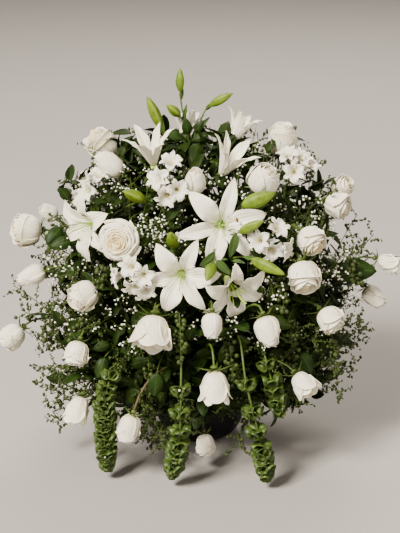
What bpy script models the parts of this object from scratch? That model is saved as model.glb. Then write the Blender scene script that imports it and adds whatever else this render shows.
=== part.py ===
"""A casket flower arrangement: white roses, lilies and trailing greens in a black bowl.

Everything is in metres, with +Z up. The origin is the centre of the bowl's flat base,
and the side that faces the room looks along -Y. Azimuth 0 is that side, 90 the right.
"""
import math
import random

import bmesh
import bpy
from mathutils import Matrix, Vector
from mathutils.bvhtree import BVHTree

# Clearances
GAP = 0.0003  # between two solids that touch
SPACING = 0.0006  # least distance between pieces of two plants

# Bowl
BOWL_HEIGHT = 0.115
BOWL_BASE_RADIUS = 0.052
BOWL_BELLY_RADIUS = 0.097
BOWL_BELLY_HEIGHT = 0.072
BOWL_RIM_RADIUS = 0.088
BOWL_WALL = 0.003
BOWL_STEPS = 16

# Block of wet foam in the bowl, and the holes that the stems stand in
FOAM_CENTRE = Vector((0, 0, 0.115))
FOAM_RADIUS = 0.079
FOAM_DOME = 0.07
FOAM_FOOT_RADIUS = 0.045
FOAM_SHOULDER = 0.07
FOAM_STEPS = 10
PEG_RADIUS = 0.0065
PEG_DEPTH = 0.030
PEG_STANDS_OUT = 0.009
ROOT_SINK = 0.004  # of the stems in the outer end of a peg
HOLE_CLEARANCE = 0.0005

# Rose heads
ROSE_SPIN = 37  # turns each head by this many times its azimuth, so that no two look alike
CALYX_CUP = 0.10  # radius of the green cup and spread of its sepals, as shares of the head's width
SEPAL_SPREAD = 0.36
SEPAL_DROP = 0.009

# Stems and leaves
ROSE_STEM_RADIUS = 0.0026
LILY_STEM_RADIUS = 0.0030
PEDICEL_RADIUS = 0.0015
BLADE_THICKNESS = 0.0013
ROSE_LEAF = (0.050, 0.017)  # length, half width
LILY_LEAF = (0.062, 0.010)
LARGE_LEAF = (0.085, 0.026)

# Where each bunch stands in the foam: azimuth, elevation
ROOTS = {
    "bells_of_ireland_1": (-45, 12),
    "bells_of_ireland_2": (-15, 12),
    "bells_of_ireland_3": (15, 12),
    "bells_of_ireland_4": (45, 12),
    "trailing_greens_left": (-78, 12),
    "trailing_greens_right": (78, 12),
    "rose_stems_front": (0, 41),
    "alstroemeria_left": (-40, 41),
    "alstroemeria_right": (40, 41),
    "rose_stems_left": (-80, 41),
    "rose_stems_right": (80, 41),
    "gypsophila_left": (-120, 41),
    "gypsophila_right": (120, 41),
    "back_foliage": (180, 41),
    "lily_stem_centre": (-30, 65),
    "lily_stem_upper": (30, 65),
    "lily_stem_left": (-90, 65),
    "lily_stem_right": (90, 65),
    "rose_stems_top_left": (-150, 65),
    "rose_stems_top_right": (150, 65),
    "alstroemeria_top": (0, 90),
}

# Rose heads: middle, azimuth and elevation of its face, width, height, how far it is open
ROSES = {
    "rose_stems_top_left": {
        "rose_01": ((-0.204, 0.085, 0.618), -50, 45, 0.072, 0.062, 0.8),
        "rose_02": ((-0.186, -0.015, 0.600), 30, -45, 0.056, 0.060, 0.2),
        "rose_25": ((-0.361, -0.010, 0.458), -70, 5, 0.070, 0.062, 0.9),
        "rose_26": ((-0.321, 0.050, 0.479), -60, 40, 0.038, 0.044, 0.1),
        "rose_27": ((-0.157, -0.200, 0.494), -10, 5, 0.086, 0.058, 1.0),
        "rose_28": ((-0.140, 0.230, 0.430), -150, 10, 0.060, 0.055, 0.6),
    },
    "rose_stems_top_right": {
        "rose_03": ((0.170, 0.050, 0.637), 20, 70, 0.063, 0.055, 0.6),
        "rose_04": ((0.126, -0.120, 0.597), 35, 55, 0.066, 0.060, 0.3),
        "rose_05": ((-0.010, -0.140, 0.597), 0, 70, 0.044, 0.052, 0.1),
        "rose_06": ((0.298, 0.050, 0.536), 50, 30, 0.046, 0.046, 0.3),
        "rose_07": ((0.284, -0.020, 0.514), 60, -10, 0.056, 0.054, 0.5),
        "rose_29": ((0.130, 0.235, 0.505), 160, 20, 0.064, 0.058, 0.7),
    },
    "rose_stems_left": {
        "rose_20": ((-0.246, -0.220, 0.142), -40, -60, 0.058, 0.060, 0.8),
        "rose_21": ((-0.245, -0.220, 0.265), -30, -60, 0.048, 0.052, 0.3),
        "rose_22": ((-0.230, -0.200, 0.381), -50, -25, 0.058, 0.058, 0.6),
        "rose_23": ((-0.349, -0.050, 0.371), -75, -20, 0.044, 0.060, 0.2),
        "rose_24": ((-0.393, -0.060, 0.240), -60, -35, 0.054, 0.055, 0.4),
    },
    "rose_stems_right": {
        "rose_08": ((0.218, -0.165, 0.483), 40, -30, 0.060, 0.054, 0.6),
        "rose_09": ((0.203, -0.210, 0.422), 15, -45, 0.066, 0.060, 0.6),
        "rose_10": ((0.257, -0.200, 0.329), 50, -35, 0.054, 0.052, 0.5),
        "rose_11": ((0.363, -0.040, 0.321), 70, -40, 0.042, 0.055, 0.1),
        "rose_12": ((0.395, -0.010, 0.386), 75, -15, 0.046, 0.050, 0.3),
    },
    "rose_stems_front": {
        "rose_13": ((0.205, -0.250, 0.211), 50, -40, 0.056, 0.055, 0.9),
        "rose_14": ((0.131, -0.270, 0.330), 30, -60, 0.050, 0.058, 0.2),
        "rose_15": ((0.023, -0.280, 0.345), 0, -60, 0.042, 0.052, 0.1),
        "rose_16": ((0.029, -0.290, 0.221), 10, -75, 0.064, 0.062, 0.8),
        "rose_17": ((0.012, -0.190, 0.052), 20, -65, 0.044, 0.048, 0.3),
        "rose_18": ((-0.092, -0.275, 0.329), -10, -50, 0.082, 0.066, 0.8),
        "rose_19": ((-0.141, -0.260, 0.123), 0, -80, 0.046, 0.058, 0.2),
    },
}

# Lily blooms: foot, azimuth and elevation of its face, turn, reach and depth of the trumpet,
# how far the tips fall back, whether it is open, with its filaments showing
LILIES = {
    "lily_stem_upper": {
        "lily_1": ((0.039, -0.150, 0.510), 5, 15, 13, 0.092, 0.062, 0.50, True),
    },
    "lily_stem_centre": {
        "lily_2": ((-0.033, -0.205, 0.432), -8, 0, 6, 0.080, 0.058, 0.45, True),
        "lily_3": ((0.050, -0.195, 0.418), 25, -25, 40, 0.072, 0.062, 0.30, True),
    },
    "lily_stem_left": {
        "lily_4": ((-0.091, -0.060, 0.597), -25, 72, 30, 0.052, 0.092, 0.05, False),
        "lily_7": ((-0.198, -0.105, 0.505), -48, -5, 30, 0.080, 0.060, 0.45, True),
    },
    "lily_stem_right": {
        "lily_5": ((0.036, -0.060, 0.576), 60, 60, 0, 0.052, 0.098, 0.05, False),
        "lily_6": ((0.060, 0.050, 0.620), 100, 62, 30, 0.040, 0.085, 0.05, False),
        "lily_8": ((-0.033, 0.060, 0.622), 160, 75, 10, 0.042, 0.080, 0.10, False),
    },
}

# Lily buds: foot, tip, greatest width
LILY_BUDS = {
    "lily_stem_upper": (
        ((0.080, -0.168, 0.552), (0.148, -0.170, 0.582), 0.030),
        ((0.074, -0.205, 0.510), (0.123, -0.222, 0.540), 0.019),
        ((-0.048, -0.192, 0.478), (-0.058, -0.230, 0.518), 0.025),
    ),
    "lily_stem_centre": (
        ((0.097, -0.224, 0.464), (0.163, -0.260, 0.443), 0.023),
        ((0.026, -0.247, 0.464), (0.012, -0.289, 0.440), 0.022),
    ),
    "lily_stem_left": (
        ((-0.078, 0.030, 0.663), (-0.108, 0.020, 0.733), 0.022),
        ((-0.107, -0.130, 0.553), (-0.150, -0.160, 0.582), 0.024),
    ),
    "lily_stem_right": (
        ((-0.041, 0.060, 0.734), (-0.041, 0.060, 0.784), 0.018),
        ((-0.040, 0.040, 0.687), (-0.068, 0.025, 0.715), 0.019),
        ((0.019, 0.060, 0.705), (0.068, 0.050, 0.734), 0.018),
    ),
}
# Where each lily stem parts into its flower stalks
LILY_FORKS = {
    "lily_stem_upper": (0.035, -0.095, 0.455),
    "lily_stem_centre": (0.015, -0.130, 0.400),
    "lily_stem_left": (-0.085, -0.030, 0.520),
    "lily_stem_right": (-0.010, 0.050, 0.560),
}

# Alstroemeria: middle of each cluster, azimuth and elevation of its face, flowers
ALSTROEMERIA = {
    "alstroemeria_top": (((-0.057, -0.150, 0.595), -10, 20, 3),),
    "alstroemeria_left": (
        ((-0.128, -0.235, 0.425), -20, -5, 3),
        ((-0.228, -0.020, 0.552), -50, 30, 2),
    ),
    "alstroemeria_right": (
        ((0.136, -0.200, 0.488), 15, 5, 3),
        ((0.205, 0.000, 0.600), 30, 50, 2),
    ),
}

ALSTROEMERIA_PETAL = 0.029
ALSTROEMERIA_STALK = 0.045  # from where a cluster parts to its middle
ALSTROEMERIA_LEAN = 0.55  # of the flowers, outward

# Bells of Ireland: the route of each stem, and how far along it the first bells sit
BELL_ROUTES = {
    "bells_of_ireland_1": (
        ((-0.105, -0.125, 0.200), (-0.160, -0.200, 0.235), (-0.185, -0.236, 0.190),
         (-0.189, -0.240, 0.100), (-0.186, -0.243, 0.026)), 0.52),
    "bells_of_ireland_2": (
        ((-0.030, -0.140, 0.270), (-0.036, -0.225, 0.300), (-0.037, -0.280, 0.230),
         (-0.040, -0.292, 0.120), (-0.056, -0.276, 0.026)), 0.58),
    "bells_of_ireland_3": (
        ((0.050, -0.130, 0.255), (0.076, -0.215, 0.300), (0.090, -0.275, 0.225),
         (0.118, -0.288, 0.110), (0.132, -0.284, 0.026)), 0.56),
    "bells_of_ireland_4": (
        ((0.085, -0.100, 0.230), (0.110, -0.165, 0.300), (0.128, -0.215, 0.260),
         (0.145, -0.235, 0.200), (0.158, -0.240, 0.145)), 0.55),
}
# Curves of a petal for an open and an opening lily: half widths of the inner and outer three,
# and how high the two middle points of its curve stand in the depth
LILY_PETALS = {True: ((0.0195, 0.0145), (0.45, 1.15)), False: ((0.0130, 0.0100), (0.38, 0.80))}
LILY_OUTER_REACH = 1.04
LILY_OUTER_DEPTH = 0.94
BELL_LENGTH = 0.019
BELL_RADIUS = 0.0105
BELL_STEP = 0.027  # between two whorls

# Fine fillers: the kind of each bunch, and the tips that its stems reach
SPRAYS = {
    "back_foliage": ("leaves", (
        (-0.240, 0.150, 0.250), (-0.200, 0.170, 0.440), (-0.060, 0.215, 0.540), (0.060, 0.215, 0.420),
        (0.240, 0.150, 0.250), (0.000, 0.215, 0.250), (0.000, 0.150, 0.640),
    )),
    "trailing_greens_left": ("pods", (
        (-0.395, 0.010, 0.330), (-0.372, -0.060, 0.300), (-0.300, -0.150, 0.150), (-0.275, 0.060, 0.545),
    )),
    "trailing_greens_right": ("pods", (
        (0.365, 0.020, 0.440), (0.350, -0.070, 0.260), (0.290, -0.150, 0.150), (0.250, 0.080, 0.590),
    )),
    "gypsophila_left": ("florets", (
        (-0.095, -0.185, 0.520), (-0.190, -0.190, 0.330), (-0.280, -0.080, 0.430),
    )),
    "gypsophila_right": ("florets", (
        (0.225, -0.110, 0.545), (0.110, 0.020, 0.660), (0.280, -0.110, 0.420),
    )),
}
# For each kind: finish, where along a stem its arms grow, how far they lean forward, stem and tip radius
SPRAY_KINDS = {
    "leaves": ("dark_leaf", (0.66, 0.95), 0.5, (0.0022, 0.0014)),
    "pods": ("trailing_green", (0.56, 0.76, 0.96), 0.6, (0.0016, 0.0009)),
    "florets": ("gypsophila", (0.76, 0.96), 0.8, (0.0014, 0.0008)),
}

# Finishes: colour, roughness
FINISHES = {
    "black_bowl": ((0.012, 0.012, 0.013), 0.35),
    "wet_foam": ((0.045, 0.10, 0.05), 0.95),
    "white_rose": ((0.86, 0.85, 0.80), 0.55),
    "white_lily": ((0.88, 0.88, 0.84), 0.45),
    "white_alstroemeria": ((0.84, 0.84, 0.78), 0.5),
    "gypsophila": ((0.78, 0.80, 0.72), 0.7),
    "rose_green": ((0.045, 0.11, 0.035), 0.5),
    "lily_green": ((0.16, 0.27, 0.035), 0.4),
    "bell_green": ((0.09, 0.21, 0.04), 0.5),
    "trailing_green": ((0.08, 0.15, 0.035), 0.6),
    "dark_leaf": ((0.025, 0.065, 0.025), 0.45),
}

SPLINTER_FACES = 4
SKEW = Vector((0.371, 0.557, 0.743)).normalized()  # a ray along it meets no edge squarely

placed = {}  # pieces of each node that stand so far
finish_of = {}


def heading(azimuth, elevation):
    a, e = math.radians(azimuth), math.radians(elevation)
    return Vector((math.sin(a) * math.cos(e), -math.cos(a) * math.cos(e), math.sin(e)))


def aim(place, facing, roll=0.0):
    """The matrix that stands a shape's own +Z along facing, with its foot at place."""
    turn = facing.to_track_quat("Z", "Y").to_matrix().to_4x4()
    return Matrix.Translation(place) @ turn @ Matrix.Rotation(roll, 4, "Z")


def bezier(a, b, c, d, count):
    steps = [i / (count - 1) for i in range(count)]
    return [
        a * (1 - t) ** 3 + b * 3 * t * (1 - t) ** 2 + c * 3 * t * t * (1 - t) + d * t ** 3
        for t in steps
    ]


def along(points, share):
    """Point and direction at a share of the length of a chain of points."""
    lengths = [(b - a).length for a, b in zip(points, points[1:])]
    left = share * sum(lengths)
    for start, end, length in zip(points, points[1:], lengths):
        if left <= length:
            return start.lerp(end, left / length), (end - start).normalized()
        left -= length
    return end.copy(), (end - start).normalized()


class Piece:
    """A closed mesh in its final place, with what the clearance test reads."""

    def __init__(self, bm):
        bmesh.ops.recalc_face_normals(bm, faces=bm.faces)
        if bm.calc_volume(signed=True) < 0:
            bmesh.ops.reverse_faces(bm, faces=bm.faces)
        self.bm = bm
        self.points = [vert.co.copy() for vert in bm.verts]
        self.middle = sum(self.points, Vector()) / len(self.points)
        self.reach = max((point - self.middle).length for point in self.points)
        self.tree = BVHTree.FromBMesh(bm)


def near(points, tree):
    return any(tree.find_nearest(point, SPACING)[0] is not None for point in points)


def inside(point, tree):
    crossings = 0
    hit = tree.ray_cast(point, SKEW)[0]
    while hit is not None:
        crossings += 1
        hit = tree.ray_cast(hit + SKEW * 1e-6, SKEW)[0]
    return crossings % 2 == 1


def touches(a, b):
    if (a.middle - b.middle).length > a.reach + b.reach + SPACING:
        return False
    if a.tree.overlap(b.tree) or near(a.points, b.tree) or near(b.points, a.tree):
        return True
    return inside(a.points[0], b.tree) or inside(b.points[0], a.tree)


def clear(piece, owner, beside=()):
    """Whether a piece keeps off every other plant, apart from those it grows against."""
    others = [pieces for name, pieces in placed.items() if name != owner and name not in beside]
    return not any(touches(piece, other) for pieces in others for other in pieces)


def keep(owner, piece):
    placed.setdefault(owner, []).append(piece)


def keep_if_clear(owner, piece):
    if clear(piece, owner):
        keep(owner, piece)
        return True
    return False


# Shapes that the pieces are made of

def spindle_mesh(rings, sides):
    """A closed turned mesh: rings of (height, radius), the first and last on its axis."""
    bm = bmesh.new()
    levels = len(rings) - 1
    from_x = Matrix.Rotation(-math.pi / 2, 4, "Z")
    bmesh.ops.create_uvsphere(bm, u_segments=sides, v_segments=levels, radius=1, matrix=from_x)
    for vert in bm.verts:
        fall = math.acos(max(-1, min(1, vert.co.z))) / math.pi
        height, radius = rings[round((1 - fall) * levels)]
        flat = Vector((vert.co.x, vert.co.y, 0))
        vert.co = (flat.normalized() * radius if radius else Vector()) + Vector((0, 0, height))
    return bm


def spindle(rings, sides, matrix):
    bm = spindle_mesh(rings, sides)
    bm.transform(matrix)
    return Piece(bm)


def pull(bm, faces, place):
    """Extrude faces as one region, set each new point by place, and return the new faces."""
    grown = bmesh.ops.extrude_face_region(bm, geom=faces)["geom"]
    bmesh.ops.delete(bm, geom=faces, context="FACES")
    for item in grown:
        if isinstance(item, bmesh.types.BMVert):
            item.co = place(item.co)
    return [item for item in grown if isinstance(item, bmesh.types.BMFace)]


def close_at(bm, face, point):
    """Draw a face to a point: outwards for a tip, inwards for a cup."""
    bmesh.ops.poke(bm, faces=[face])["verts"][0].co = point


def blade(point, across, lengthwise, matrix, thickness=BLADE_THICKNESS):
    """A closed petal or leaf: two alike grids, apart in the middle and welded at the rim."""
    bm = bmesh.new()
    bmesh.ops.create_grid(bm, x_segments=across, y_segments=lengthwise, size=1)
    for face in bm.faces[:]:
        outermost = max(range(4), key=lambda number: face.verts[number].co.length)
        bmesh.utils.face_split(face, face.verts[outermost], face.verts[(outermost + 2) % 4])
    bmesh.ops.duplicate(bm, geom=bm.verts[:] + bm.edges[:] + bm.faces[:])
    half = len(bm.verts) // 2
    for number, vert in enumerate(bm.verts):
        u, v = vert.co.x, (vert.co.y + 1) / 2
        step = 0.01
        side_way = point(u + step, v) - point(u - step, v)
        up_way = point(u, min(1, v + step)) - point(u, max(0, v - step))
        at_rim = abs(u) > 0.999 or v < 0.001 or v > 0.999
        lift = 0 if at_rim else thickness / 2 * (1 if number < half else -1)
        vert.co = point(u, v) + side_way.cross(up_way).normalized() * lift
    bmesh.ops.remove_doubles(bm, verts=bm.verts, dist=1e-6)
    bm.transform(matrix)
    return Piece(bm)


def grow_arm(bm, face, base, frame, shape):
    """Draw an arm out of a face, in a frame of its way out, its width and its thin way.

    The shape is its sections (reach, half width, half thickness, lift), then the reach and lift
    of its end.
    """
    out, across, thin = frame
    sections, (end_reach, end_lift) = shape
    middle = base
    for reach, half_width, half_thick, lift in sections:
        centre = base + out * reach + thin * lift

        def place(co, middle=middle, centre=centre, half_width=half_width, half_thick=half_thick):
            offset = co - middle
            return (centre + across * math.copysign(half_width, offset.dot(across))
                    + thin * math.copysign(half_thick, offset.dot(thin)))

        face = pull(bm, [face], place)[0]
        middle = centre
    close_at(bm, face, base + out * end_reach + thin * end_lift)


def arm_alone(corners, base, frame, shape):
    """The same arm on a foot of its own, for the clearance test."""
    bm = bmesh.new()
    bmesh.ops.create_grid(bm, x_segments=1, y_segments=1, size=1)
    for vert, number in zip(bm.verts, (0, 1, 3, 2)):
        vert.co = corners[number]
    foot = bmesh.ops.duplicate(bm, geom=bm.faces[:])["geom"]
    grow_arm(bm, [item for item in foot if isinstance(item, bmesh.types.BMFace)][0], base, frame, shape)
    bmesh.ops.remove_doubles(bm, verts=bm.verts, dist=1e-6)
    return Piece(bm)


class Stem:
    """A four-sided stem drawn along points, with short stretches, its nodes, that arms grow from."""

    def __init__(self, points, radius, tip_radius, shares, nodes=(), node_length=0.004, twist=0.0):
        length = sum((b - a).length for a, b in zip(points, points[1:]))
        half = node_length / length / 2
        rings = [(share, None) for share in shares]
        rings += [(share - half, None) for share in nodes] + [(share + half, share) for share in nodes]
        rings.sort(key=lambda ring: ring[0])
        self.bm = bmesh.new()
        self.nodes = []
        bmesh.ops.create_grid(self.bm, x_segments=1, y_segments=1, size=1)
        self.cap = self.bm.faces[:][0]
        self.centre, self.way = along(points, rings[0][0])
        self.side = self.way.orthogonal().normalized()
        self.up = self.way.cross(self.side)
        for vert in self.bm.verts:
            vert.co = self.centre + (self.side * vert.co.x + self.up * vert.co.y) * radius
        foot = bmesh.ops.duplicate(self.bm, geom=[self.cap])["geom"]
        self.cap = [item for item in foot if isinstance(item, bmesh.types.BMFace)][0]
        for share, node in rings[1:]:
            centre, way = along(points, share)
            turned = Matrix.Rotation(twist if node is None else 0, 3, way)
            sides = self.extend(centre, way, radius + (tip_radius - radius) * share, turned)
            if node is not None:
                self.nodes.append((centre, way, sides))
        bmesh.ops.remove_doubles(self.bm, verts=self.bm.verts, dist=1e-6)

    def extend(self, centre, way, radius, turned=Matrix.Identity(3)):
        """Draw the end on to a new ring, and return the four side faces behind it."""
        side = turned @ (self.side - way * self.side.dot(way)).normalized()
        up = way.cross(side)
        old = (self.centre, self.side, self.up)

        def place(co):
            offset = co - old[0]
            return (centre + side * math.copysign(radius, offset.dot(old[1]))
                    + up * math.copysign(radius, offset.dot(old[2])))

        self.cap = pull(self.bm, [self.cap], place)[0]
        self.centre, self.way, self.side, self.up = centre, way, side, up
        return [[face for face in edge.link_faces if face != self.cap][0] for edge in self.cap.edges]

    def piece(self):
        return Piece(self.bm)


def grow_arms(owner, stem, shape_of, lean, rng, chance=1.0, roll=0.0):
    """Arms from the nodes of a stem, wherever they keep clear of the other plants."""
    for centre, way, faces in stem.nodes:
        for face in faces:
            base = face.calc_center_median()
            outward = base - centre
            outward = (outward - way * outward.dot(way)).normalized()
            out = (outward + way * lean).normalized()
            across = way.cross(outward).normalized()
            across = Matrix.Rotation(rng.uniform(-roll, roll), 3, out) @ across
            frame = (out, across, out.cross(across).normalized())
            shape = shape_of(rng)
            alone = arm_alone([vert.co for vert in face.verts], base, frame, shape)
            wanted = rng.random() < chance
            if wanted and min(point.z for point in alone.points) > SPACING and clear(alone, owner):
                grow_arm(stem.bm, face, base, frame, shape)


# Holder

def finish(name):
    """The Principled material of one finish, made once."""
    found = bpy.data.materials.get(name)
    if found:
        return found
    colour, roughness = FINISHES[name]
    material = bpy.data.materials.new(name)
    material.use_nodes = True
    shader = material.node_tree.nodes["Principled BSDF"]
    shader.inputs["Base Color"].default_value = (*colour, 1)
    shader.inputs["Roughness"].default_value = roughness
    shader.inputs["Metallic"].default_value = 0
    material.diffuse_color = (*colour, 1)
    return material


def turned(name, profile, steps, finish_name, collection):
    """A profile at +X, from the top down, turned about Z."""
    mesh = bpy.data.meshes.new(name)
    edges = [(i, i + 1) for i in range(len(profile) - 1)]
    mesh.from_pydata([(radius, 0, height) for radius, height in profile], edges, [])
    obj = bpy.data.objects.new(name, mesh)
    mesh.materials.append(finish(finish_name))
    collection.objects.link(obj)
    screw = obj.modifiers.new("turn", "SCREW")
    screw.steps = steps
    screw.render_steps = steps
    screw.use_merge_vertices = True
    screw.merge_threshold = 1e-5
    return obj


def bowl_radius(height):
    """Outer radius of the bowl: an elliptic belly below, drawn in to the rim above."""
    if height < BOWL_BELLY_HEIGHT:
        rise = 1 - height / BOWL_BELLY_HEIGHT
        return BOWL_BASE_RADIUS + (BOWL_BELLY_RADIUS - BOWL_BASE_RADIUS) * math.sqrt(1 - rise ** 2)
    rise = (height - BOWL_BELLY_HEIGHT) / (BOWL_HEIGHT - BOWL_BELLY_HEIGHT)
    return BOWL_RIM_RADIUS + (BOWL_BELLY_RADIUS - BOWL_RIM_RADIUS) * math.cos(rise * math.pi / 2)


def make_bowl(collection):
    heights = [BOWL_HEIGHT * (1 - i / 5) ** 1.5 for i in range(6)]
    profile = [(bowl_radius(height), height) for height in heights]
    bowl = turned("bowl", profile + [(0, 0)], BOWL_STEPS, "black_bowl", collection)
    wall = bowl.modifiers.new("wall", "SOLIDIFY")
    wall.thickness = BOWL_WALL
    wall.offset = -1
    wall.use_even_offset = True
    return bowl


def foam_reach(elevation):
    """From the foam's centre to its surface, above the rim."""
    e = math.radians(elevation)
    return ((math.cos(e) / FOAM_RADIUS) ** 3 + (math.sin(e) / FOAM_DOME) ** 3) ** (-1 / 3)


def foam_profile():
    dome = []
    for elevation in (90, 70, 50, 32, 14, 0):
        e, reach = math.radians(elevation), foam_reach(elevation)
        dome.append((reach * math.cos(e), FOAM_CENTRE.z + reach * math.sin(e)))
    dome[0] = (0, dome[0][1])
    foot = BOWL_WALL + GAP
    return dome + [(FOAM_RADIUS, FOAM_SHOULDER), (FOAM_FOOT_RADIUS, foot), (0, foot)]


def peg_ends(owner):
    """Deep end and outer end of the bunch's foot, and its direction."""
    direction = heading(*ROOTS[owner])
    surface = foam_reach(ROOTS[owner][1])
    deep = FOAM_CENTRE + direction * (surface - PEG_DEPTH)
    return deep, FOAM_CENTRE + direction * (surface + PEG_STANDS_OUT), direction


def make_foam(collection, cutters):
    foam = turned("foam", foam_profile(), FOAM_STEPS, "wet_foam", collection)
    for owner in ROOTS:
        deep, outer, direction = peg_ends(owner)
        start, end = deep - direction * HOLE_CLEARANCE, outer + direction * PEG_RADIUS
        bm = bmesh.new()
        radius, length = PEG_RADIUS + HOLE_CLEARANCE, (end - start).length
        bmesh.ops.create_cone(bm, cap_ends=True, segments=4, radius1=radius, radius2=radius, depth=length)
        bm.transform(aim(start, direction) @ Matrix.Translation((0, 0, length / 2)))
        mesh = bpy.data.meshes.new(owner + "_hole")
        bm.to_mesh(mesh)
        hole = bpy.data.objects.new(owner + "_hole", mesh)
        hole.hide_render = True
        hole.display_type = "WIRE"
        cutters.objects.link(hole)
    holes = foam.modifiers.new("holes", "BOOLEAN")
    holes.operation = "DIFFERENCE"
    holes.operand_type = "COLLECTION"
    holes.collection = cutters
    return foam


def add_peg(owner, finish_name):
    """The gathered foot of a bunch, standing in its hole in the foam."""
    deep, outer, direction = peg_ends(owner)
    bm = bmesh.new()
    length = (outer - deep).length
    radii = {"radius1": PEG_RADIUS * 0.8, "radius2": PEG_RADIUS * 0.95}
    bmesh.ops.create_cone(bm, cap_ends=True, segments=4, depth=length, **radii)
    bm.transform(aim(deep, direction) @ Matrix.Translation((0, 0, length / 2)))
    keep(owner, Piece(bm))
    finish_of[owner] = finish_name


def root_of(owner):
    """Where stems leave the gathered foot: just under its outer end."""
    _, outer, direction = peg_ends(owner)
    return outer - direction * ROOT_SINK, direction


# Stems that bend clear of what stands already

def bends(reach):
    """Sideways shifts to try for a stem, the smallest first."""
    yield Vector()
    for size in (0.2, 0.4, 0.6, 0.8, 1.0):
        for turn in range(0, 360, 45):
            c, s = math.cos(math.radians(turn)), math.sin(math.radians(turn))
            yield Vector((c, s, 0)) * size * reach
            yield Vector((c, 0, s)) * size * reach


def plain(radii, count):
    """A maker of stems without nodes, for clear_stem."""
    shares = [number / (count - 1) for number in range(count)]
    return lambda points: Stem(points, *radii, shares)


def clear_stem(owner, end, end_way, make, beside=(), start=None):
    """A stem from the foot of its bunch, or from start, that reaches end along end_way."""
    root, direction = start or root_of(owner)
    span = (end - root).length
    outset = (direction + (end - root) / span * 0.6).normalized()
    for bend in bends(0.35 * span):
        first = root + outset * span * 0.35 + bend
        second = end - end_way * span * 0.22 + bend * 0.6
        stem = make(bezier(root, first, second, end, 9))
        if clear(stem.piece(), owner, beside):
            return stem
    print("no clear way for", owner, tuple(end))
    return stem


def leaf_shape(size, droop=0.0):
    """An arm that is a pointed leaf of one length and half width, some larger than others."""
    length, half_width = size

    def shape(rng):
        scale = rng.uniform(0.85, 1.15)
        reach = length * scale
        return [(0.42 * reach, half_width * scale, 0.0007, 0.02 * reach)], (reach, -droop * reach)

    return shape


# Roses

def rose_rings(opened):
    """Body of a head: rounded foot, the shelf under each layer of petals, and the folded heart."""
    if opened < 0.5:
        return [(0, 0), (0.13, 0.60), (0.30, 0.70), (0.60, 0.64), (0.94, 0.24), (1.0, 0)]
    return [(0, 0), (0.12, 0.60), (0.28, 0.64), (0.52, 0.58), (0.90, 0.34), (0.84, 0)]


def rose_layers(opened):
    """For each layer of petals: the level of the body it grows from, and its steps of radius and height."""
    if opened < 0.5:
        return ((1, ((0.88, 0.80 - 0.1 * opened),)), (2, ((0.62, 0.98),)))
    if opened < 0.9:
        return ((1, ((0.98, 0.90 - 0.1 * opened),)), (2, ((0.74, 1.0),)))
    return ((1, ((0.92, 0.50), (1.08, 0.78))), (2, ((0.82, 0.96),)))


def grow_petal(bm, faces, steps, body, turn, half_span):
    """Draw two side faces of the body out into one petal, its corners rounded off."""
    radius, height = body
    middle_height = sum(face.calc_center_median().z for face in faces) / len(faces)
    for number, (reach, rise) in enumerate(steps):
        last = number == len(steps) - 1

        def place(co):
            angle = math.atan2(co.y, co.x)
            swing = ((angle - turn + math.pi) % math.tau) - math.pi
            corner = abs(swing) / half_span
            below = co.z < middle_height if number == 0 else math.hypot(co.x, co.y) > previous
            out = reach * radius + (0.0007 if below else -0.0007) + 0.035 * radius * swing / half_span
            drop = (0.16 if last else 0.0) * corner * height
            return Vector((out * math.cos(turn + swing * 0.95), out * math.sin(turn + swing * 0.95),
                           rise * height - drop))

        faces = pull(bm, faces, place)
        previous = reach * radius


def make_rose(name, middle, azimuth, elevation, width, height, opened):
    facing = heading(azimuth, elevation)
    sides = 6 if opened < 0.5 else 8 if opened < 0.8 else 10
    widest = max(reach for _, steps in rose_layers(opened) for reach, _ in steps)
    radius = width / 2 / widest
    rings = rose_rings(opened)
    bm = spindle_mesh([(z * height, r * radius) for z, r in rings], sides)
    walls = {}
    for face in bm.faces:
        centre = face.calc_center_median()
        level = sum(centre.z > z * height for z, _ in rings[1:4])
        sector = int((math.atan2(centre.y, centre.x) % math.tau) / math.tau * sides)
        if len(face.verts) == 4:
            walls[level, sector] = face
    for level, steps in rose_layers(opened):
        for number in range(sides // 2):
            first = (2 * number + level) % sides
            pair = [walls[level, first], walls[level, (first + 1) % sides]]
            turn = (first + 1) * math.tau / sides
            grow_petal(bm, pair, steps, (radius, height), turn, math.tau / sides)
    bm.transform(aim(Vector(middle) - facing * height / 2, facing, math.radians(ROSE_SPIN * azimuth)))
    keep(name, Piece(bm))
    finish_of[name] = "white_rose"


def grow_calyx(stem, foot, facing, width):
    """End a stem in the green cup under a rose, with four sepals that bend back."""
    cup = width * CALYX_CUP
    sides = stem.extend(foot - facing * GAP, facing, cup)
    for face in sides:
        outward = face.calc_center_median() - stem.centre
        outward = (outward - facing * outward.dot(facing)).normalized()
        close_at(stem.bm, face, foot + outward * width * SEPAL_SPREAD - facing * SEPAL_DROP)


def grow_roses(owner, roses, rng):
    add_peg(owner, "rose_green")
    radii = (ROSE_STEM_RADIUS, ROSE_STEM_RADIUS * 0.9)
    for number, (name, values) in enumerate(roses.items()):
        middle, azimuth, elevation, width, height, _ = values
        facing = heading(azimuth, elevation)
        foot = Vector(middle) - facing * height / 2
        leafy = ((0.68,), (), ())[number % 3]
        stem = clear_stem(
            owner, foot - facing * 0.010, facing,
            lambda points: Stem(points, *radii, (0, 0.3, 0.55, 1), leafy, 0.005), (name,),
        )
        grow_arms(owner, stem, leaf_shape(ROSE_LEAF, 0.1), 0.55, rng, 0.62, 0.35)
        grow_calyx(stem, foot, facing, width)
        keep(owner, stem.piece())


# Lilies

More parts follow.
